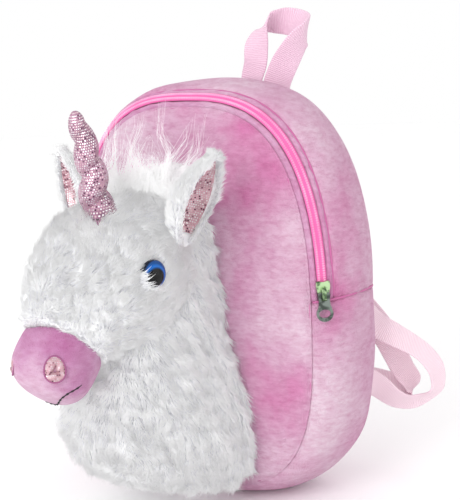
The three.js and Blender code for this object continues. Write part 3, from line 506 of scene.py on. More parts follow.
def loft(centres, across, lift, wide, above, below, power, chin=0.0, count=241):
    """Rounded sections joined along a line: half width times the signed power of the cosine to the side, and
    the upper or lower half height times that of the sine along the lift. Under the middle, the width shrinks
    by the chin's share. Both ends close in a point."""
    turn = np.linspace(0, 2 * np.pi, count)[None, :, None]
    c, s = signed_power(np.cos(turn), 2 / power), signed_power(np.sin(turn), 2 / power)
    c = c * (1 - chin * np.clip(-s, 0, 1))
    tall = np.where(np.sin(turn) >= 0, above[:, None, None], below[:, None, None])
    grid = centres[:, None] + across * wide[:, None, None] * c + lift * tall * s
    grid[0], grid[-1] = centres[0], centres[-1]
    return grid


def outwards(grid):
    """The outward direction at each point of a closed grid: the cross product of its two slopes."""
    slope = np.gradient(grid, axis=0)
    wrapped = np.concatenate([grid[:, -2:-1], grid, grid[:, 1:2]], 1)
    out = unit(np.cross(slope, wrapped[:, 2:] - wrapped[:, :-2]))
    middle = grid.mean((0, 1))
    return out * np.sign((out * (grid - middle)).sum())


def fluffed(grid, seed, high=0.0022):
    """The stuffed body under the pile, moved in and out by soft waves of two sizes, which make its clumps."""
    lumps = 0.6 * waves(grid, 0.034, seed) + 0.5 * waves(grid, 0.013, seed + 1)
    lumps[0], lumps[-1] = 0, 0
    return grid + outwards(grid) * high * lumps[..., None]


def neck_grid(shrink):
    """The neck's level sections from the bottom up: height, half width, reach to the front and end behind."""
    height, wide, reach, behind = through(neck_rows, 200).T
    half = (reach * chest_reach + behind * pouch_depth / 2) / 2
    centres = np.stack([0 * half, behind * pouch_depth / 2 - half, height * neck_top], -1)
    half = np.maximum(half - shrink, 0.001)
    wide = np.maximum(wide * neck_half_width - shrink, 0.001)
    return loft(centres, np.array((1, 0, 0)), np.array((0, -1, 0)), wide, half, half, 2.5)


neck_rows = [
    (0.076, 0.58, 0.42, 0.20), (0.084, 0.78, 0.53, 0.40), (0.106, 0.90, 0.66, 0.40),
    (0.140, 0.97, 0.79, 0.40), (0.188, 1.00, 0.90, 0.30), (0.258, 1.00, 0.97, 0.10),
    (0.345, 0.95, 1.00, -0.20), (0.450, 0.85, 0.97, -0.50), (0.570, 0.74, 0.90, -0.70),
    (0.700, 0.64, 0.80, -0.75), (0.820, 0.52, 0.71, -0.75), (0.910, 0.41, 0.61, -0.75),
    (0.975, 0.24, 0.50, -0.75), (1.000, 0.04, 0.38, -0.80)]


def scatter(grid, count, rng):
    """Random places on a gridded surface, evenly by area, with the outward direction at each."""
    a, b = grid[1:, :-1] - grid[:-1, :-1], grid[:-1, 1:] - grid[:-1, :-1]
    normal = np.cross(a, b)
    area = np.linalg.norm(normal, axis=-1)
    turned = np.sign((normal * (grid[:-1, :-1] - grid.mean((0, 1)))).sum())
    cell = rng.choice(area.size, count, p=(area / area.sum()).ravel())
    i, j = np.unravel_index(cell, area.shape)
    u, v = rng.random((2, count, 1))
    low = grid[i, j] * (1 - u) + grid[i + 1, j] * u
    high = grid[i, j + 1] * (1 - u) + grid[i + 1, j + 1] * u
    return low * (1 - v) + high * v, turned * normal[i, j] / np.maximum(area[i, j], 1e-12)[:, None]


def flow(place, seed, size=0.04):
    """A soft wandering direction at each place: one set of waves for each axis."""
    return np.stack([waves(place, size, seed + k) for k in range(3)], -1)


def pile(name, place, out, comb, length, width, rng, stand=0.4, clump=0.005, gather=0.6, bends=1, curl=0.0,
         splay=0.18):
    """Locks of pile as closed three-sided spikes. Each leans from the outward direction along the comb, more
    so near its tip by the curl, and its tip is drawn to the middle of its clump."""
    count = len(place)
    jitter = rng.normal(0, clump * 0.08, place.shape) + 0.4 * clump * flow(place, 51, 0.011)
    _, which = np.unique(np.floor((place + jitter) / clump).astype(int), axis=0, return_inverse=True)
    which = which.ravel()
    total = np.bincount(which)
    comb = unit(comb) + splay * rng.normal(size=(len(total), 3))[which] + 0.2 * rng.normal(size=(count, 3))
    comb = unit(comb - out * (comb * out).sum(-1, keepdims=True))
    side = np.cross(out, comb)
    length = length * rng.uniform(0.8, 1.15, (count, 1)) * rng.uniform(0.85, 1.15, (len(total), 1))[which]
    lean = math.sqrt(1 - stand ** 2)
    centre = np.stack([np.bincount(which, place[:, k]) / total for k in range(3)], -1)[which]
    draw = gather * (centre - place)
    draw = draw - out * (draw * out).sum(-1, keepdims=True)
    parts = []
    for step in np.arange(bends + 1) / bends:
        rise, run = stand * step * (1 - curl * step), lean * step * (1 - curl + curl * step)
        middle = place + length * (out * rise + comb * run) + draw * step
        if step == 1:
            parts.append(middle)
            break
        size = width * (1 - 0.4 * step)
        for turn in (0.5, 0.5 + 2 / 3, 0.5 + 4 / 3):
            corner = side * math.cos(turn * math.pi) + out * 0.6 * math.sin(turn * math.pi)
            parts.append(middle + size * corner)
    points = np.stack(parts, 1)
    each = 3 * bends + 1
    faces = [(0, 2, 1)]
    for start in range(0, 3 * bends - 3, 3):
        for k in range(3):
            a, b = start + k, start + (k + 1) % 3
            faces += [(a, b, b + 3), (a, b + 3, a + 3)]
    faces += [(each - 4 + k, each - 4 + (k + 1) % 3, each - 1) for k in range(3)]
    triangles = (np.array(faces)[None] + (np.arange(count) * each)[:, None, None]).reshape(-1, 3)
    mesh = bpy.data.meshes.new(name)
    mesh.vertices.add(count * each)
    mesh.vertices.foreach_set("co", (points + foot).ravel())
    mesh.loops.add(triangles.size)
    mesh.loops.foreach_set("vertex_index", triangles.ravel())
    mesh.polygons.add(len(triangles))
    mesh.polygons.foreach_set("loop_start", np.arange(0, triangles.size, 3))
    mesh.update(calc_edges=True)
    # Painted shade: each lock is darker towards its root; each lock and each clump also gets a random tone.
    shade_and_tone_values = np.append(np.repeat(np.arange(bends) / bends, 3), 1.0)[None] * 0.6
    shade_and_tone_values = shade_and_tone_values + rng.uniform(0, 0.3, (count, 1))
    shade_and_tone_values = np.clip(shade_and_tone_values + rng.normal(0.03, 0.13, len(total))[which][:, None], 0, 1)
    mesh.attributes.new("lock_shade_and_tone", "FLOAT", "POINT").data.foreach_set("value", shade_and_tone_values.ravel().astype(np.float32))
    piece = smooth_piece(name, mesh, white_fur)
    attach(piece, "bag")


def give_root_shade(piece):
    """Gives a body under the pile the painted shade of the pile's roots."""
    piece.data.attributes.new("lock_shade_and_tone", "FLOAT", "POINT").data.foreach_set(
        "value", np.full(len(piece.data.vertices), 0.35, np.float32))


neck_skin = fluffed(neck_grid(pile_depth - 0.0012), 61)
neck_body = surface("neck_body", neck_skin, white_fur)
give_root_shade(neck_body)
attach(neck_body, "bag")
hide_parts("neck")
neck_rng = np.random.default_rng(11)
neck_locks, neck_side_locks = 110000, 44000
neck_place, neck_out = scatter(neck_skin, neck_locks, neck_rng)
clear = neck_place[:, 1] < -pouch_depth / 2 - 0.009
neck_place, neck_out = neck_place[clear], neck_out[clear]
for name, part in (("neck_pile_left", neck_place[:, 0] >= 0), ("neck_pile_right", neck_place[:, 0] < 0)):
    at, out = neck_place[part][:neck_side_locks], neck_out[part][:neck_side_locks]
    down = np.stack([12 * at[:, 0], 0 * at[:, 0] - 0.2, 0 * at[:, 0] - 1], -1) + 0.45 * flow(at, 21)
    pile(name, at, out, down, 0.0105, lock_width, neck_rng, stand=0.4, clump=0.0055, gather=0.72)

# The animal's head: stuffed white long-pile plush. The pile is short over the nose and longer over the
# cheeks and the brow, and is combed back from the muzzle.
skull = np.array((0, -0.130, 0.178))
nose = np.array((0, -0.179, 0.125))
nose_length = np.linalg.norm(nose - skull)
nose_way = (nose - skull) / nose_length
brow_way = np.array((0, nose_way[2], -nose_way[1]))
head_half_width, head_half_height = 0.051, 0.048
head_rows = [
    (-0.86, 0.02, 0.02, 0.02), (-0.82, 0.40, 0.20, 0.50), (-0.70, 0.70, 0.42, 0.86),
    (-0.50, 0.90, 0.64, 1.12), (-0.20, 0.99, 0.86, 1.28), (0.05, 0.99, 0.91, 1.26),
    (0.24, 0.94, 0.90, 1.12), (0.40, 0.85, 0.88, 0.93), (0.54, 0.74, 0.83, 0.77),
    (0.66, 0.66, 0.78, 0.67), (0.73, 0.61, 0.73, 0.62)]


def nose_grid(rows, half_width, half_height, shrink, count, power=2.15, chin=0.0):
    """Sections along the line from the skull to the muzzle. Each row gives the place, the half width, and
    the half height above and below."""
    along, wide, above, below = through(rows, count).T
    centres = skull + nose_way * (along * nose_length)[:, None]
    sizes = [np.maximum(share * size - shrink, 0.0005) for share, size in (
        (wide, half_width), (above, half_height), (below, half_height))]
    return loft(centres, np.array((1, 0, 0)), brow_way, *sizes, power, chin)


head_skin = fluffed(nose_grid(head_rows, head_half_width, head_half_height, pile_depth, 180), 71, 0.0011)
head_body = surface("head_body", head_skin, white_fur)
give_root_shade(head_body)
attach(head_body, "bag")
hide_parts("head")
eye_places = np.array([(side * (head_half_width - 0.003), -0.133, 0.184) for side in (1, -1)])
head_rng = np.random.default_rng(12)
head_locks, head_side_locks = 88000, 42000
eye_clear, eyelid_radius, eyelid_locks = 0.0098, 0.0105, 420
head_place, head_out = scatter(head_skin, head_locks, head_rng)
clear = np.min(np.linalg.norm(head_place[:, None] - eye_places, axis=-1), 1) > eye_clear
head_place, head_out = head_place[clear], head_out[clear]
for name, part in (("head_pile_left", head_place[:, 0] >= 0), ("head_pile_right", head_place[:, 0] < 0)):
    at, out = head_place[part][:head_side_locks], head_out[part][:head_side_locks]
    along = (at - skull) @ nose_way / nose_length
    back_comb = -nose_way + np.stack([6 * at[:, 0], 0 * along, 0 * along - 0.25], -1) + 0.5 * flow(at, 31)
    lengths = np.interp(along, (-0.8, -0.2, 0.3, 0.72), (0.0105, 0.0100, 0.009, 0.0065))[:, None]
    pile(name, at, out, back_comb, lengths, lock_width, head_rng, stand=0.38, clump=0.0052, gather=0.72)
brow_turn = head_rng.uniform(0.95 * np.pi, 1.5 * np.pi, eyelid_locks)
for word, centre, side in (("left", eye_places[0], 1), ("right", eye_places[1], -1)):
    ring = np.stack([0 * brow_turn - side * 0.001, eyelid_radius * np.cos(brow_turn),
                     eyelid_radius * np.sin(brow_turn)], -1)
    at = centre + ring + head_rng.normal(0, 0.0009, ring.shape)
    towards = np.stack([0 * brow_turn, 1 + 0 * brow_turn, 0.15 - 0.3 * np.sin(brow_turn)], -1)
    out = np.tile((side * 1.0, 0.0, 0.0), (len(at), 1))
    pile(f"eyelid_pile_{word}", at, out, towards, 0.0085, lock_width, head_rng, stand=0.62, clump=0.004,
         bends=2, curl=0.3)

# The muzzle: a cap of short pink plush sewn round the end of the head, with a stitched mouth and two
# gathered nostrils of dotted fabric.
muzzle_half_width, muzzle_half_height = 0.0270, 0.0260
muzzle_rows = [
    (0.72, 0.90, 0.92, 0.90), (0.75, 0.97, 0.97, 0.96), (0.82, 1.00, 1.00, 1.00),
    (0.96, 1.00, 0.99, 1.00), (1.065, 0.95, 0.93, 0.95), (1.15, 0.82, 0.80, 0.82),
    (1.212, 0.60, 0.58, 0.60), (1.243, 0.28, 0.28, 0.28), (1.252, 0.02, 0.02, 0.02)]
chin_share, muzzle_power = 0.22, 2.5
muzzle_plush = plush("muzzle_plush", "#DDBCD2", "#C991B9", "#B86AA0", 0.03)
muzzle_skin = nose_grid(muzzle_rows, muzzle_half_width, muzzle_half_height, 0.0, 110, muzzle_power,
                        chin_share)
muzzle = surface("muzzle_cap", muzzle_skin, muzzle_plush)
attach(muzzle, "bag")
# These spots paint light and shade on the muzzle: paler at the front of its tip, which faces the light, and
# deeper pink on its near side towards the cheek, in shade. The muzzle is also deeper pink on top and paler
# underneath.
add_dye_and_light_spots(muzzle, (0.010, -0.182, 0.158, 0.013, -0.26), (-0.010, -0.195, 0.118, 0.016, 0.34),
     (0.027, -0.152, 0.138, 0.010, -0.12), (0.010, -0.185, 0.100, 0.012, 0.3))
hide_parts("muzzle")


def dotted(name, base, dark, pitch=0.0019, dot=0.00056):
    """Fabric with metallic dots: rows of small discs over the piece's flat map, every second row shifted by
    half a pitch, most discs painted with a bright glint and some with a dark reflection, at random."""
    made, tree, shader = material(name, base, 0.5, Sheen_Weight=0.1)
    flat = node(tree, "UVMap", uv_map="flat").outputs["UV"]
    parts = node(tree, "SeparateXYZ", {"Vector": flat})
    row = node(tree, "Math", {0: parts.outputs["Y"], 1: 1 / (pitch * 0.866)}, operation="MULTIPLY")
    row_number = node(tree, "Math", {0: row.outputs[0]}, operation="FLOOR")
    half = node(tree, "Math", {0: row_number.outputs[0], 1: 0.5}, operation="MULTIPLY")
    column = node(tree, "Math", {0: parts.outputs["X"], 1: 1 / pitch, 2: half.outputs[0]},
                  operation="MULTIPLY_ADD")
    column_number = node(tree, "Math", {0: column.outputs[0]}, operation="FLOOR")
    off = []
    for value in (column, row):
        whole = node(tree, "Math", {0: value.outputs[0]}, operation="FRACT")
        off.append(node(tree, "Math", {0: whole.outputs[0], 1: 0.5}, operation="SUBTRACT").outputs[0])
    spot = node(tree, "CombineXYZ", {"X": off[0], "Y": off[1]})
    far = node(tree, "VectorMath", {0: spot.outputs[0]}, operation="LENGTH")
    inside = node(tree, "Math", {0: far.outputs["Value"], 1: dot / pitch}, operation="LESS_THAN")
    number = node(tree, "CombineXYZ", {"X": column_number.outputs[0], "Y": row_number.outputs[0]})
    # Painted glints and reflections: each dot gets a random colour, dark for a few, pale to white for most.
    glint_luck = node(tree, "TexWhiteNoise", {"Vector": number.outputs[0]}, noise_dimensions="3D")
    foil_glint = ramp(tree, glint_luck.outputs["Value"], (0.1, "#3A2A31"), (0.16, "#D9B3B8"), (0.5, "#F3DEDF"),
                (0.8, "#FFFFFF"))
    place = node(tree, "TexCoord").outputs["Object"]
    cloth = node(tree, "TexNoise", {"Vector": place, "Scale": 90.0, "Detail": 3.0})
    ground = ramp(tree, cloth.outputs["Fac"], (0.35, dark), (0.6, base))
    mixed = node(tree, "Mix", {0: inside.outputs[0], 6: ground, 7: foil_glint}, data_type="RGBA")
    tree.links.new(mixed.outputs[2], shader.inputs["Base Color"])
    metal = node(tree, "Math", {0: inside.outputs[0], 1: 0.6}, operation="MULTIPLY")
    tree.links.new(metal.outputs[0], shader.inputs["Metallic"])
    rough = node(tree, "MapRange", {"Value": inside.outputs[0], 3: 0.6, 4: 0.25})
    tree.links.new(rough.outputs[0], shader.inputs["Roughness"])
    return made


ear_fabric = dotted("dotted_pink", "#AC7A88", "#8A5B6A", 0.0018)


def facing_frame(facing):
    """Two directions square to a facing direction, the second as upright as it can be."""
    facing = unit(np.array(facing, float))
    across = unit(np.cross((0, 0, 1), facing))
    return across, np.cross(facing, across), facing


rim_pink, _, _ = material("rim_pink", "#96527C", 0.8, Sheen_Weight=0.1)
near_nostril_out, far_nostril_out = 0.0270, 0.0240
cup_width, cup_height, cup_rim, cup_egg = 0.0064, 0.0080, 0.0002, 0.12


def nostril(word, side):
    """A gathered disc: folds that run to its middle rise and fall with the cosine of the turn, and sink
    towards the middle. A tube of close stitches goes round its rim."""
    across, lift, facing = facing_frame((side * 0.72, -0.64, 0.27))
    centre = nose + facing * (near_nostril_out if side > 0 else far_nostril_out)
    turn = np.linspace(0, 2 * np.pi, 97)[None]
    share = np.concatenate([np.linspace(0, 1, 24), np.linspace(1, 0, 8)])[:, None]
    under = np.arange(32)[:, None] >= 24
    fold = np.abs(np.cos(1.5 * turn - 0.5 + 0.3 * np.sin(turn))) ** 0.55
    rise = 0.0003 + 0.0030 * np.sin(np.pi * share ** 0.8) * (0.02 + 0.98 * fold) - 0.0016 * (1 - share) ** 2
    rise = np.where(under, -0.0025, rise)
    wide, tall = cup_width * share, cup_height * share * (1 + cup_egg * np.sin(turn))
    flat = np.stack(np.broadcast_arrays(wide * np.cos(turn), tall * np.sin(turn)), -1)
    grid = centre + across * flat[..., :1] + lift * flat[..., 1:] + facing * rise[..., None]
    piece = surface(f"nostril_cup_{word}", grid, ear_fabric, flat * 1.4)
    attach(piece, "bag")
    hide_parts(f"nostril_{word}")
    round_turn = np.linspace(0, 2 * np.pi, 73)
    egg = (cup_height + cup_rim) * (1 + cup_egg * np.sin(round_turn))
    rim = centre + facing * 0.0003 + across * ((cup_width + cup_rim) * np.cos(round_turn))[:, None]
    rim = rim + lift * (egg * np.sin(round_turn))[:, None]
    tube = np.linspace(0, 2 * np.pi, 9)[None, :, None]
    away_out = unit(rim - centre)[:, None]
    bead = (0.00055 + 0.00012 * np.cos(36 * round_turn))[:, None, None]
    beads = rim[:, None] + bead * (away_out * np.cos(tube) + facing * np.sin(tube))
    stitches = surface(f"nostril_rim_{word}", beads, rim_pink)
    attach(stitches, "bag")


nostril("left", 1)
nostril("right", -1)

mouth_black, _, _ = material("mouth_black", "#141214", 0.7)
mouth_rows = [
    (-0.0230, -0.0075), (-0.0205, -0.0095), (-0.0160, -0.0118), (-0.0110, -0.0134), (-0.0055, -0.0144),
    (0.0, -0.0140), (0.0055, -0.0108), (0.0110, -0.0056), (0.0160, -0.0016), (0.0205, 0.0000),
    (0.0234, -0.0008), (0.0250, -0.0028)]


def mouth_points():
    """The mouth on the muzzle's round end. Its rows give places to the side and along the brow's direction.
    The place along the nose is the mean of the surface's nearest points, weighed by a bell curve of their
    distances. The far half hangs a little lower than the near one."""
    side, brow = through(mouth_rows, 121).T
    end = muzzle_skin[40:].reshape(-1, 3) - skull
    gap = (end[:, 0] - side[:, None]) ** 2 + (end @ brow_way - brow[:, None]) ** 2
    weight = np.exp(-gap / (2 * 0.0006 ** 2)) + 1e-30
    ahead = (weight * (end @ nose_way)).sum(1) / weight.sum(1)
    return skull + np.array((1, 0, 0)) * side[:, None] + brow_way * brow[:, None] + nose_way * ahead[:, None]


mouth_share = np.linspace(-1, 1, 121)
mouth_line = mouth_points()
mouth_out = unit(mouth_line - nose)
mouth_line = mouth_line + mouth_out * 0.0002
mouth_way = unit(np.gradient(mouth_line, axis=0))
mouth_side = unit(np.cross(mouth_way, mouth_out))
mouth_round = np.linspace(0, 2 * np.pi, 9)[None, :, None]
mouth_size = (0.00036 + 0.0004 * np.sin(23 * mouth_share) ** 4)[:, None, None]
mouth_size[0] = mouth_size[-1] = 0
mouth = surface("mouth_stitches", mouth_line[:, None] + mouth_size * (
    mouth_side[:, None] * np.cos(mouth_round) + mouth_out[:, None] * np.sin(mouth_round)), mouth_black)
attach(mouth, "bag")

# The eyes: moulded plastic domes, painted behind with a blue iris and a black pupil, each held by a
# washer inside the head.
eye_radius, eye_depth = 0.00925, 0.0056
pupil_ahead, pupil_below = 0.22, 0.2
eye_paint, eye_tree, eye_shader = material("eye_paint", "#2F6FA8", 0.12, Specular_IOR_Level=0.25)
eye_flat = node(eye_tree, "UVMap", uv_map="flat").outputs["UV"]
eye_far = node(eye_tree, "SeparateXYZ", {"Vector": eye_flat})
eye_blue = ramp(eye_tree, eye_far.outputs["X"], (0.0, "#050506"), (0.60, "#0A0B0D"), (0.66, "#0C2F5A"),
                (0.78, "#1C66BC"), (0.98, "#0F4380"))
eye_rim = ramp(eye_tree, eye_far.outputs["Y"], (0.90, 1.0), (0.97, 0.1))
eye_colour = node(eye_tree, "Mix", {0: 1.0, 6: eye_blue, 7: eye_rim}, data_type="RGBA", blend_type="MULTIPLY")
eye_tree.links.new(eye_colour.outputs[2], eye_shader.inputs["Base Color"])


def eye(word, centre, side):
    """A dome: the radius follows the sine and the rise the cosine of the way from its top to its edge, with
    a short straight wall below. The pupil is painted a little ahead of its middle and below it."""
    across, lift, facing = facing_frame((side, -0.12, 0.05))
    way = np.concatenate([np.linspace(0, 0.5, 30) * np.pi, np.full(6, np.pi / 2)])[:, None]
    sunk = np.concatenate([np.zeros(30), [0.0006, 0.002, 0.004, 0.004, 0.004, 0.004]])[:, None]
    inwards = np.concatenate([np.ones(33), [0.7, 0.3, 0.0]])[:, None]
    turn = np.linspace(0, 2 * np.pi, 65)[None]
    share = np.sin(way) * inwards
    radius = eye_radius * share
    grid = centre + across * (radius * np.cos(turn))[..., None] + lift * (radius * np.sin(turn))[..., None]
    grid = grid + facing * (eye_depth * np.cos(way) - sunk + 0 * turn)[..., None]
    off_pupil = np.hypot(share * np.cos(turn) + side * pupil_ahead, share * np.sin(turn) + pupil_below)
    uv = np.stack(np.broadcast_arrays(off_pupil, np.where(way < np.pi / 2, share, 1.0)), -1)
    piece = surface(f"eye_dome_{word}", grid, eye_paint, uv)
    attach(piece, "bag")
    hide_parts(f"eye_{word}")


eye("left", eye_places[0], 1)
eye("right", eye_places[1], -1)

# The ears: deep cupped leaves of white long-pile plush, each lined with dotted pink fabric, sewn upright to
# the top of the head. The near ear has turned outwards, so that its front flap shows its fur.
ear_length, ear_half_width, ear_thickness = 0.052, 0.019, 0.003
ear_splay, ear_lift, ear_forward = 0.019, 0.206, 0.098
ear_cup, ear_sunk = np.radians(78), 0.22


def ear_frame(side, facing):
    """An ear's root, its way to the tip, and the directions across it and out of its opening."""
    root = np.array((side * head_half_width * 0.97, -ear_forward, ear_lift))
    rise = math.sqrt(ear_length ** 2 - ear_splay ** 2 - (ear_splay / 3) ** 2)
    length = np.array((side * ear_splay, ear_splay / 3, rise))
    way = unit(length)
    facing = np.array(facing, float)
    facing = unit(facing - way * (facing @ way))
    return root, length, np.cross(way, facing), facing


def ear_leaf(frame_of_ear, share, start, stop, front, behind, rows=60, columns=41):
    """A leaf bent to an arc across: its chord is the power of a sine from its root to its tip, and its two
    faces lie a little inside and outside that arc."""
    root, length, across, facing = frame_of_ear
    along = np.linspace(start, stop, rows)[:, None]
    over = np.linspace(-1, 1, columns)[None]
    risen = (along + ear_sunk) / (1 + ear_sunk)
    half = ear_half_width * np.sin(np.pi * np.clip(0.03 + 0.97 * risen, 0, 1)) ** 0.85
    bend = ear_cup * (1 - 0.25 * along)
    radius = half / np.sin(bend)
    sheets = []
    for lift in (front, behind):
        at = (radius - lift) * np.sin(bend * over * share)
        deep = radius * np.cos(bend) - (radius - lift) * np.cos(bend * over * share)
        sheets.append(root + length * along[..., None] + across * at[..., None] + facing * deep[..., None])
    return sheets, np.stack(np.broadcast_arrays(radius * bend * over * share, along * ear_length), -1)


ear_rng = np.random.default_rng(13)
leaf_locks, rim_locks = 9000, 3600
for word, side, facing, cloth_share in (("left", 1, (1.0, 0.15, 0), 0.88),
                                        ("right", -1, (-0.54, -0.84, 0), 0.97)):
    ear = ear_frame(side, facing)
    (inner, outer), _ = ear_leaf(ear, 1, -ear_sunk, 0.985, 0.0, -ear_thickness)
    leaf = shell(f"ear_leaf_{word}", inner, outer, white_fur)
    give_root_shade(leaf)
    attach(leaf, "bag")
    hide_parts(f"ear_{word}")
    root, length, across, facing = ear
    place, out = scatter(outer, leaf_locks, ear_rng)
    core = root + length * 0.5
    spine = core + length * (((place - core) @ length) / (length @ length))[:, None]
    out = out * np.sign((out * (place - spine)).sum(-1))[:, None]
    rim = np.concatenate([inner[3:, 0], inner[3:, -1], inner[-1]])
    rim_out = np.concatenate([np.tile(-across, (57, 1)), np.tile(across, (57, 1)),
                              np.tile(unit(length), (41, 1))])
    pick = ear_rng.integers(0, len(rim), rim_locks)
    edge = rim[pick] + ear_rng.normal(0, 0.0008, (rim_locks, 3))
    place, out = np.concatenate([place, edge]), np.concatenate([out, unit(rim_out[pick] + 0.2 * facing)])
    comb = unit(length) + 0.3 * flow(place, 41)
    pile(f"ear_pile_{word}", place, out, comb, 0.0070, 0.00036, ear_rng, clump=0.005, stand=0.38, gather=0.5)
    (inner, outer), flat = ear_leaf(ear, cloth_share, -0.06, 0.95, 0.0014, 0.0003)
    cloth = np.concatenate([inner, outer[:, ::-1], inner[:, :1]], 1)
    cloth_flat = np.concatenate([flat, flat[:, ::-1], flat[:, :1]], 1)
    lining = surface(f"ear_cloth_{word}", cloth, ear_fabric, cloth_flat)
    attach(lining, "bag")
    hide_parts(f"ear_lining_{word}")

# The horn: a stuffed cone of dotted pink fabric, wound with a thread that pulls a deep spiral groove into
# it, and gathered at its foot where it is sewn to the brow.
horn_length, horn_radius, horn_lean = 0.072, 0.0122, 0.016
horn_turns, horn_start, horn_groove, horn_bow = 3.14, 0.66, 0.46, 0.0026
horn_fabric = dotted("dotted_horn", "#9B7088", "#775068", 0.0018, 0.00052)


def horn_grid():
    """The cone's radius shrinks towards its tip, and is pulled in along a spiral, where folds cross the
    groove. The axis bows a little sideways, and the foot flares into a gathered collar."""
    root = np.array((0, -0.130, 0.178 + head_half_height * 0.80))
    line = np.array((0, -horn_lean, math.sqrt(horn_length ** 2 - horn_lean ** 2)))
    way = unit(line)
    forward = np.cross((1, 0, 0), way)
    along = np.linspace(0, 1, 240)[:, None]
    turn = np.linspace(0, 2 * np.pi, 121)[None]
    phase = np.pi * (along * horn_turns + turn / (2 * np.pi) - horn_start)
    pinch = (1 - np.abs(np.sin(phase))) ** 1.3
    taper = (1 - 0.42 * along) * np.sqrt(np.clip(1 - along ** 10, 0, 1))
    collar = 1 + 0.45 * np.clip(1 - along * 8, 0, 1) * (1 + 0.4 * np.cos(7 * turn + 1))
    folds = 1 + 0.05 * pinch * np.cos(15 * turn + 3 * np.sin(5 * turn))
    folds = folds + 0.012 * np.sin(9 * turn + 21 * along)
    radius = horn_radius * taper * (1 - horn_groove * pinch * (1 - 0.3 * along)) * collar * folds
    bow = right * horn_bow * np.sin(np.pi * along)[..., None]
    grid = root + line * along[..., None] + bow + np.array((1, 0, 0)) * (radius * np.cos(turn))[..., None]
    grid = grid + forward * (radius * np.sin(turn))[..., None]
    grid[0], grid[-1] = root, root + line
    return grid, np.stack(np.broadcast_arrays(turn * horn_radius * 0.8, along * horn_length), -1)


horn_points, horn_flat = horn_grid()
horn = surface("horn_cone", horn_points, horn_fabric, horn_flat)
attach(horn, "bag")
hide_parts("horn")

# The forelock: long silky white pile between the ears, sewn in behind the horn, that stands up in a fan of
# thin wisps.
mane_rng = np.random.default_rng(14)
mane_root = skull - nose_way * nose_length * 0.665
mane_side, mane_back = np.array((0.85, 0.5, 0)), np.array((-0.4, 0.9, 0))
root_depth, strand_radius = 0.005, 0.00019
long_wisps = [
    (-0.010, 0.000, -0.009, 0.072), (-0.004, 0.002, -0.010, 0.050), (0.002, 0.004, 0.005, 0.060),
    (0.004, 0.000, 0.001, 0.052), (0.010, 0.004, 0.028, 0.066), (0.016, 0.002, 0.045, 0.062),
    (0.018, 0.000, 0.037, 0.044), (0.006, 0.006, 0.022, 0.058), (0.014, 0.006, 0.036, 0.058),
    (0.000, 0.004, -0.006, 0.064), (0.008, 0.002, 0.016, 0.062)]
wisp_count, strands = 100, 36
wisp_side = mane_rng.normal(0.007, 0.010, wisp_count).clip(-0.013, 0.025)
wisp_rows = np.stack([wisp_side, mane_rng.uniform(-0.006, 0.010, wisp_count),
                      1.45 * wisp_side + mane_rng.normal(0.003, 0.011, wisp_count),
                      mane_rng.triangular(0.016, 0.026, 0.050, wisp_count)], -1)
wisp_rows[:len(long_wisps)] = long_wisps
wisp_place = mane_root + wisp_rows[:, :1] * mane_side + wisp_rows[:, 1:2] * mane_back + (0, 0, -root_depth)
wisp_tip = mane_root + wisp_rows[:, 2:3] * mane_side + wisp_rows[:, 3:] * np.array((0, 0, 1)) + (
    0.004 * mane_rng.normal(size=(wisp_count, 3)) * (0.4, 1, 0.3))
wisp_bow = 0.0095 * mane_rng.normal(size=(wisp_count, 1)) * mane_side
wisp_bow = wisp_bow + 0.004 * mane_rng.normal(size=(wisp_count, 3))
wisp = np.repeat(np.arange(wisp_count), strands)
spread = 0.0032 * mane_rng.normal(size=(wisp_count * strands, 3))
fan_share = np.linspace(0, 1, 8)[:, None, None]
strand_reach = mane_rng.uniform(0.5, 1.08, (1, wisp_count * strands, 1))
strand_line = wisp_place[wisp] + spread + fan_share * strand_reach * (wisp_tip - wisp_place)[wisp]
strand_line = strand_line + wisp_bow[wisp] * np.sin(np.pi * fan_share * strand_reach)
strand_line = strand_line - spread * 0.8 * fan_share ** 1.3
strand_line = strand_line + 0.0045 * flow(strand_line * (1, 1, 0.8), 91, 0.026) * fan_share ** 1.5
strand_line = strand_line + 0.0024 * mane_rng.normal(size=(1, wisp_count * strands, 3)) * fan_share ** 2
strand_way = unit(np.gradient(strand_line, axis=0))
strand_side = unit(np.cross(strand_way, away))
strand_face = np.cross(strand_side, strand_way)
strand_size = strand_radius * (1 - 0.8 * fan_share)
corners = [strand_line + strand_size * (strand_side * math.cos(t) + strand_face * math.sin(t))
           for t in (0.5, 0.5 + 2 * math.pi / 3, 0.5 + 4 * math.pi / 3)]
strand_points = np.stack(corners, 2).transpose(1, 0, 2, 3).reshape(-1, 3)
one = [(0, 2, 1), (21, 22, 23)]
for start in range(0, 21, 3):
    for k in range(3):
        a, b = start + k, start + (k + 1) % 3
        one += [(a, b, b + 3), (a, b + 3, a + 3)]
strand_faces = (np.array(one)[None] + 24 * np.arange(wisp_count * strands)[:, None, None]).reshape(-1, 3)
mane_mesh = bpy.data.meshes.new("forelock")
mane_mesh.from_pydata((strand_points + foot).tolist(), [], strand_faces.tolist())
mane_shade_and_tone = np.full(len(mane_mesh.vertices), 0.9, np.float32)
mane_mesh.attributes.new("lock_shade_and_tone", "FLOAT", "POINT").data.foreach_set("value", mane_shade_and_tone)
mane = smooth_piece("forelock", mane_mesh, white_fur)
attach(mane, "bag")
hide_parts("mane")

# The webbing: soft pale pink woven band, 20 mm wide, with fine ribs across it. The carry loop and both
# shoulder straps are sewn into the back seam.
web_width, web_thickness = 0.020, 0.0016
rib_pitch, warp_pitch = 0.0013, 0.0009


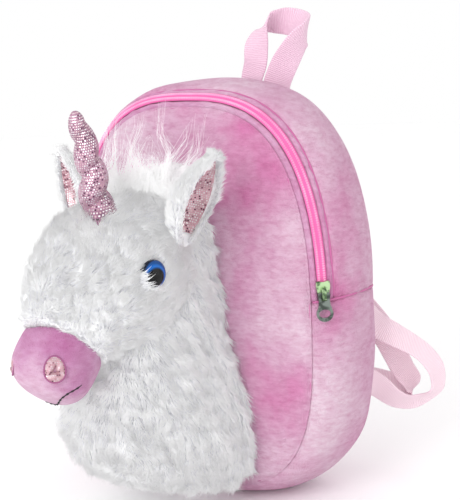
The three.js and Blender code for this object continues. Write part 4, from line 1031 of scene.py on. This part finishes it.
def woven(name, deep, full, pale):
    """Webbing: the height of the weave is the sine along the band, with a share of its product with the sine
    across the band, and its valleys are painted deeper in colour, as shade."""
    made, tree, shader = material(name, full, 0.8, Sheen_Weight=0.25, Sheen_Roughness=0.5)
    parts = node(tree, "SeparateXYZ", {"Vector": node(tree, "UVMap", uv_map="flat").outputs["UV"]})
    rib = node(tree, "Math", {0: parts.outputs["Y"], 1: 2 * math.pi / rib_pitch}, operation="MULTIPLY")
    rib = node(tree, "Math", {0: rib.outputs[0]}, operation="SINE")
    warp = node(tree, "Math", {0: parts.outputs["X"], 1: 2 * math.pi / warp_pitch}, operation="MULTIPLY")
    warp = node(tree, "Math", {0: warp.outputs[0]}, operation="SINE")
    weave = node(tree, "Math", {0: rib.outputs[0], 1: warp.outputs[0]}, operation="MULTIPLY")
    weave = node(tree, "Math", {0: weave.outputs[0], 1: 0.4, 2: rib.outputs[0]}, operation="MULTIPLY_ADD")
    shade = node(tree, "MapRange", {"Value": weave.outputs[0], 1: -1.4, 2: 1.4})
    # Painted shade: the weave's valleys are deeper in colour.
    colour = ramp(tree, shade.outputs[0], (0.0, deep), (0.6, full), (1.0, pale))
    tree.links.new(colour, shader.inputs["Base Color"])
    bump = node(tree, "Bump", {"Strength": 0.5, "Distance": 0.0004, "Height": weave.outputs[0]})
    tree.links.new(bump.outputs["Normal"], shader.inputs["Normal"])
    return made


# The loop and the straps are the same webbing in two copies: the loop's is painted darker, as shade, and the
# straps' lighter, as light.
loop_webbing_painted_darker = woven("loop_webbing_painted_darker", "#DDB2C9", "#E7C3D6", "#EFD3E2")
strap_webbing_painted_lighter = woven("strap_webbing_painted_lighter", "#EFCBDA", "#F9DEE9", "#FFEEF5")


def smooth_line(points, count):
    """A centripetal curve through points: between two of them a cubic whose slopes weigh the distances to
    the neighbours on both sides by their square roots."""
    p = np.concatenate([[2 * points[0] - points[1]], points, [2 * points[-1] - points[-2]]])
    t = np.linspace(0, len(points) - 1, count)
    i = np.minimum(t.astype(int), len(points) - 2)
    f = (t - i)[:, None]
    a, b, c, d = p[i], p[i + 1], p[i + 2], p[i + 3]
    step = [np.sqrt(np.linalg.norm(v, axis=-1, keepdims=True)) for v in (b - a, c - b, d - c)]
    leave = ((b - a) / step[0] - (c - a) / (step[0] + step[1]) + (c - b) / step[1]) * step[1]
    arrive = ((c - b) / step[1] - (d - b) / (step[1] + step[2]) + (d - c) / step[2]) * step[1]
    second, third = 3 * (c - b) - 2 * leave - arrive, 2 * (b - c) + leave + arrive
    return b + f * leave + f ** 2 * second + f ** 3 * third


def webbing(name, node_name, rows, start, reach, count, finish):
    """A flat band carried along a line: a thin section with rounded edges, turned at each place to the
    band's own width direction there. A row's first three numbers times the reach, plus the start, are a
    place on the line, and its last three are the width direction."""
    middles = smooth_line(np.array([np.add(start, np.multiply(reach, row[:3])) for row in rows]), count)
    widths = through(np.array([unit(np.array(row[3:], float)) for row in rows]), count)
    way = unit(np.gradient(middles, axis=0))
    widths = unit(widths - way * (widths * way).sum(-1, keepdims=True))
    face = np.cross(way, widths)
    edge = np.linspace(-np.pi / 2, np.pi / 2, 5)
    half, thick = web_width / 2 - web_thickness / 2, web_thickness / 2
    flat = np.linspace(-1, 1, 9)
    over = np.concatenate([half * flat, half + thick * np.cos(edge),
                           half * flat[::-1], -half - thick * np.cos(edge)])
    out = np.concatenate([0 * flat - thick, thick * np.sin(edge), 0 * flat + thick, -thick * np.sin(edge)])
    over, out = np.append(over, over[0]), np.append(out, out[0])
    grid = middles[:, None] + widths[:, None] * over[None, :, None] + face[:, None] * out[None, :, None]
    ends = [middles[[k]][:, None] + widths[[k]][:, None] * over[None, :, None] for k in (0, -1)]
    grid = np.concatenate([ends[0], grid, ends[1]])
    run = np.concatenate([[0], np.cumsum(np.linalg.norm(np.diff(middles, axis=0), axis=1))])
    run = np.concatenate([[0], run, run[-1:]])
    uv = np.stack(np.broadcast_arrays(over[None], run[:, None]), -1)
    piece = surface(name, grid, finish, uv)
    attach(piece, "bag")
    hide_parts(node_name)


loop_rows = [
    (-0.63, 0.01, -0.12, -1.00, 0.05, 0.00), (-0.60, 0.01, 0.27, -0.99, 0.07, -0.10),
    (-0.45, 0.06, 0.49, -1.00, -0.07, -0.07), (-0.48, 0.19, 0.70, -0.97, -0.14, -0.19),
    (-0.45, 0.34, 0.84, -0.94, 0.09, -0.32), (-0.36, 0.51, 0.94, -0.81, 0.20, -0.55),
    (-0.22, 0.76, 0.99, -0.64, 0.19, -0.74), (0.05, 0.99, 1.00, -0.51, 0.13, -0.85),
    (0.47, 1.11, 0.99, -0.23, -0.25, -0.94), (0.84, 1.06, 0.95, -0.07, -0.29, -0.95),
    (1.16, 0.84, 0.89, -0.23, 0.03, -0.97), (1.22, 0.56, 0.82, -0.24, 0.39, -0.89),
    (1.08, 0.34, 0.73, 0.07, 0.70, -0.71), (0.90, 0.19, 0.60, 0.45, 0.77, -0.45),
    (0.66, 0.06, 0.42, 0.80, 0.56, -0.22), (0.41, 0.01, 0.19, 0.78, 0.51, -0.37),
    (0.37, 0.01, -0.12, 0.95, 0.20, -0.20)]
loop_start, loop_reach = (0.020, pouch_depth / 2, widest + upper_rise), (0.022, web_width, 0.057)
webbing("loop_band", "carry_loop", loop_rows, loop_start, loop_reach, 200, loop_webbing_painted_darker)
right_rows = [
    (0.4, -0.06, 0.925, 1, 0, -0.1), (0.4, 0.08, 0.9, 1, 0, -0.1), (0.42, 0.2, 0.8, 1, -0.1, 0),
    (0.48, 0.24, 0.68, 0.95, -0.3, -0.1), (0.58, 0.25, 0.56, 0.8, -0.4, -0.4),
    (0.72, 0.25, 0.46, 0.5, -0.45, -0.7), (0.84, 0.28, 0.395, 0.3, -0.5, -0.8),
    (0.94, 0.38, 0.368, 0.25, -0.6, -0.75), (1.02, 0.54, 0.34, 0.14, -0.85, -0.45),
    (1.08, 0.7, 0.305, 0.02, -0.96, -0.25), (1.11, 0.83, 0.262, -0.06, -0.99, -0.05),
    (1.1, 0.87, 0.218, 0.0, -0.98, 0.14), (1.03, 0.87, 0.192, 0.03, -0.9, 0.4),
    (0.96, 0.78, 0.178, 0.12, -0.76, 0.64), (0.905, 0.66, 0.182, 0.3, -0.62, 0.72),
    (0.87, 0.52, 0.2, 0.48, -0.44, 0.76), (0.83, 0.34, 0.232, 0.5, -0.2, 0.84),
    (0.8, 0.1, 0.262, 0.3, 0.0, 0.95), (0.81, -0.06, 0.28, 0.2, 0.0, 0.98)]
left_rows = [
    (-0.12, -0.06, 0.937, 1, 0, 0), (-0.12, 0.08, 0.915, 1, 0, 0), (-0.06, 0.26, 0.8, 1, 0.1, 0.1),
    (0.1, 0.42, 0.66, 0.9, 0.3, 0.3), (0.36, 0.52, 0.54, 0.7, 0.4, 0.55),
    (0.62, 0.54, 0.44, 0.55, 0.5, 0.65), (0.8, 0.56, 0.365, 0.45, 0.62, 0.62),
    (0.86, 0.66, 0.305, 0.43, 0.8, 0.4), (0.89, 0.76, 0.262, 0.4, 0.88, 0.15),
    (0.93, 0.85, 0.225, 0.2, 0.97, 0.15), (0.925, 0.87, 0.205, -0.08, 0.94, 0.3),
    (0.87, 0.8, 0.213, -0.15, 0.91, 0.37), (0.8, 0.66, 0.232, -0.16, 0.92, 0.34),
    (0.66, 0.52, 0.25, -0.15, 0.93, 0.25), (0.36, 0.42, 0.25, -0.1, 0.9, 0.4),
    (-0.1, 0.34, 0.24, -0.05, 0.6, 0.8), (-0.5, 0.24, 0.22, -0.1, 0.2, 0.97),
    (-0.73, 0.13, 0.2, -0.3, 0.0, 0.95), (-0.79, -0.06, 0.2, -0.3, 0.0, 0.95)]
strap_start, strap_reach = (0.0, pouch_depth / 2, 0.0), (pouch_width / 2, 0.060, pouch_height)
for word, rows in (("right", right_rows), ("left", left_rows)):
    webbing(f"{word}_band", f"strap_{word}", rows, strap_start, strap_reach, 300, strap_webbing_painted_lighter)
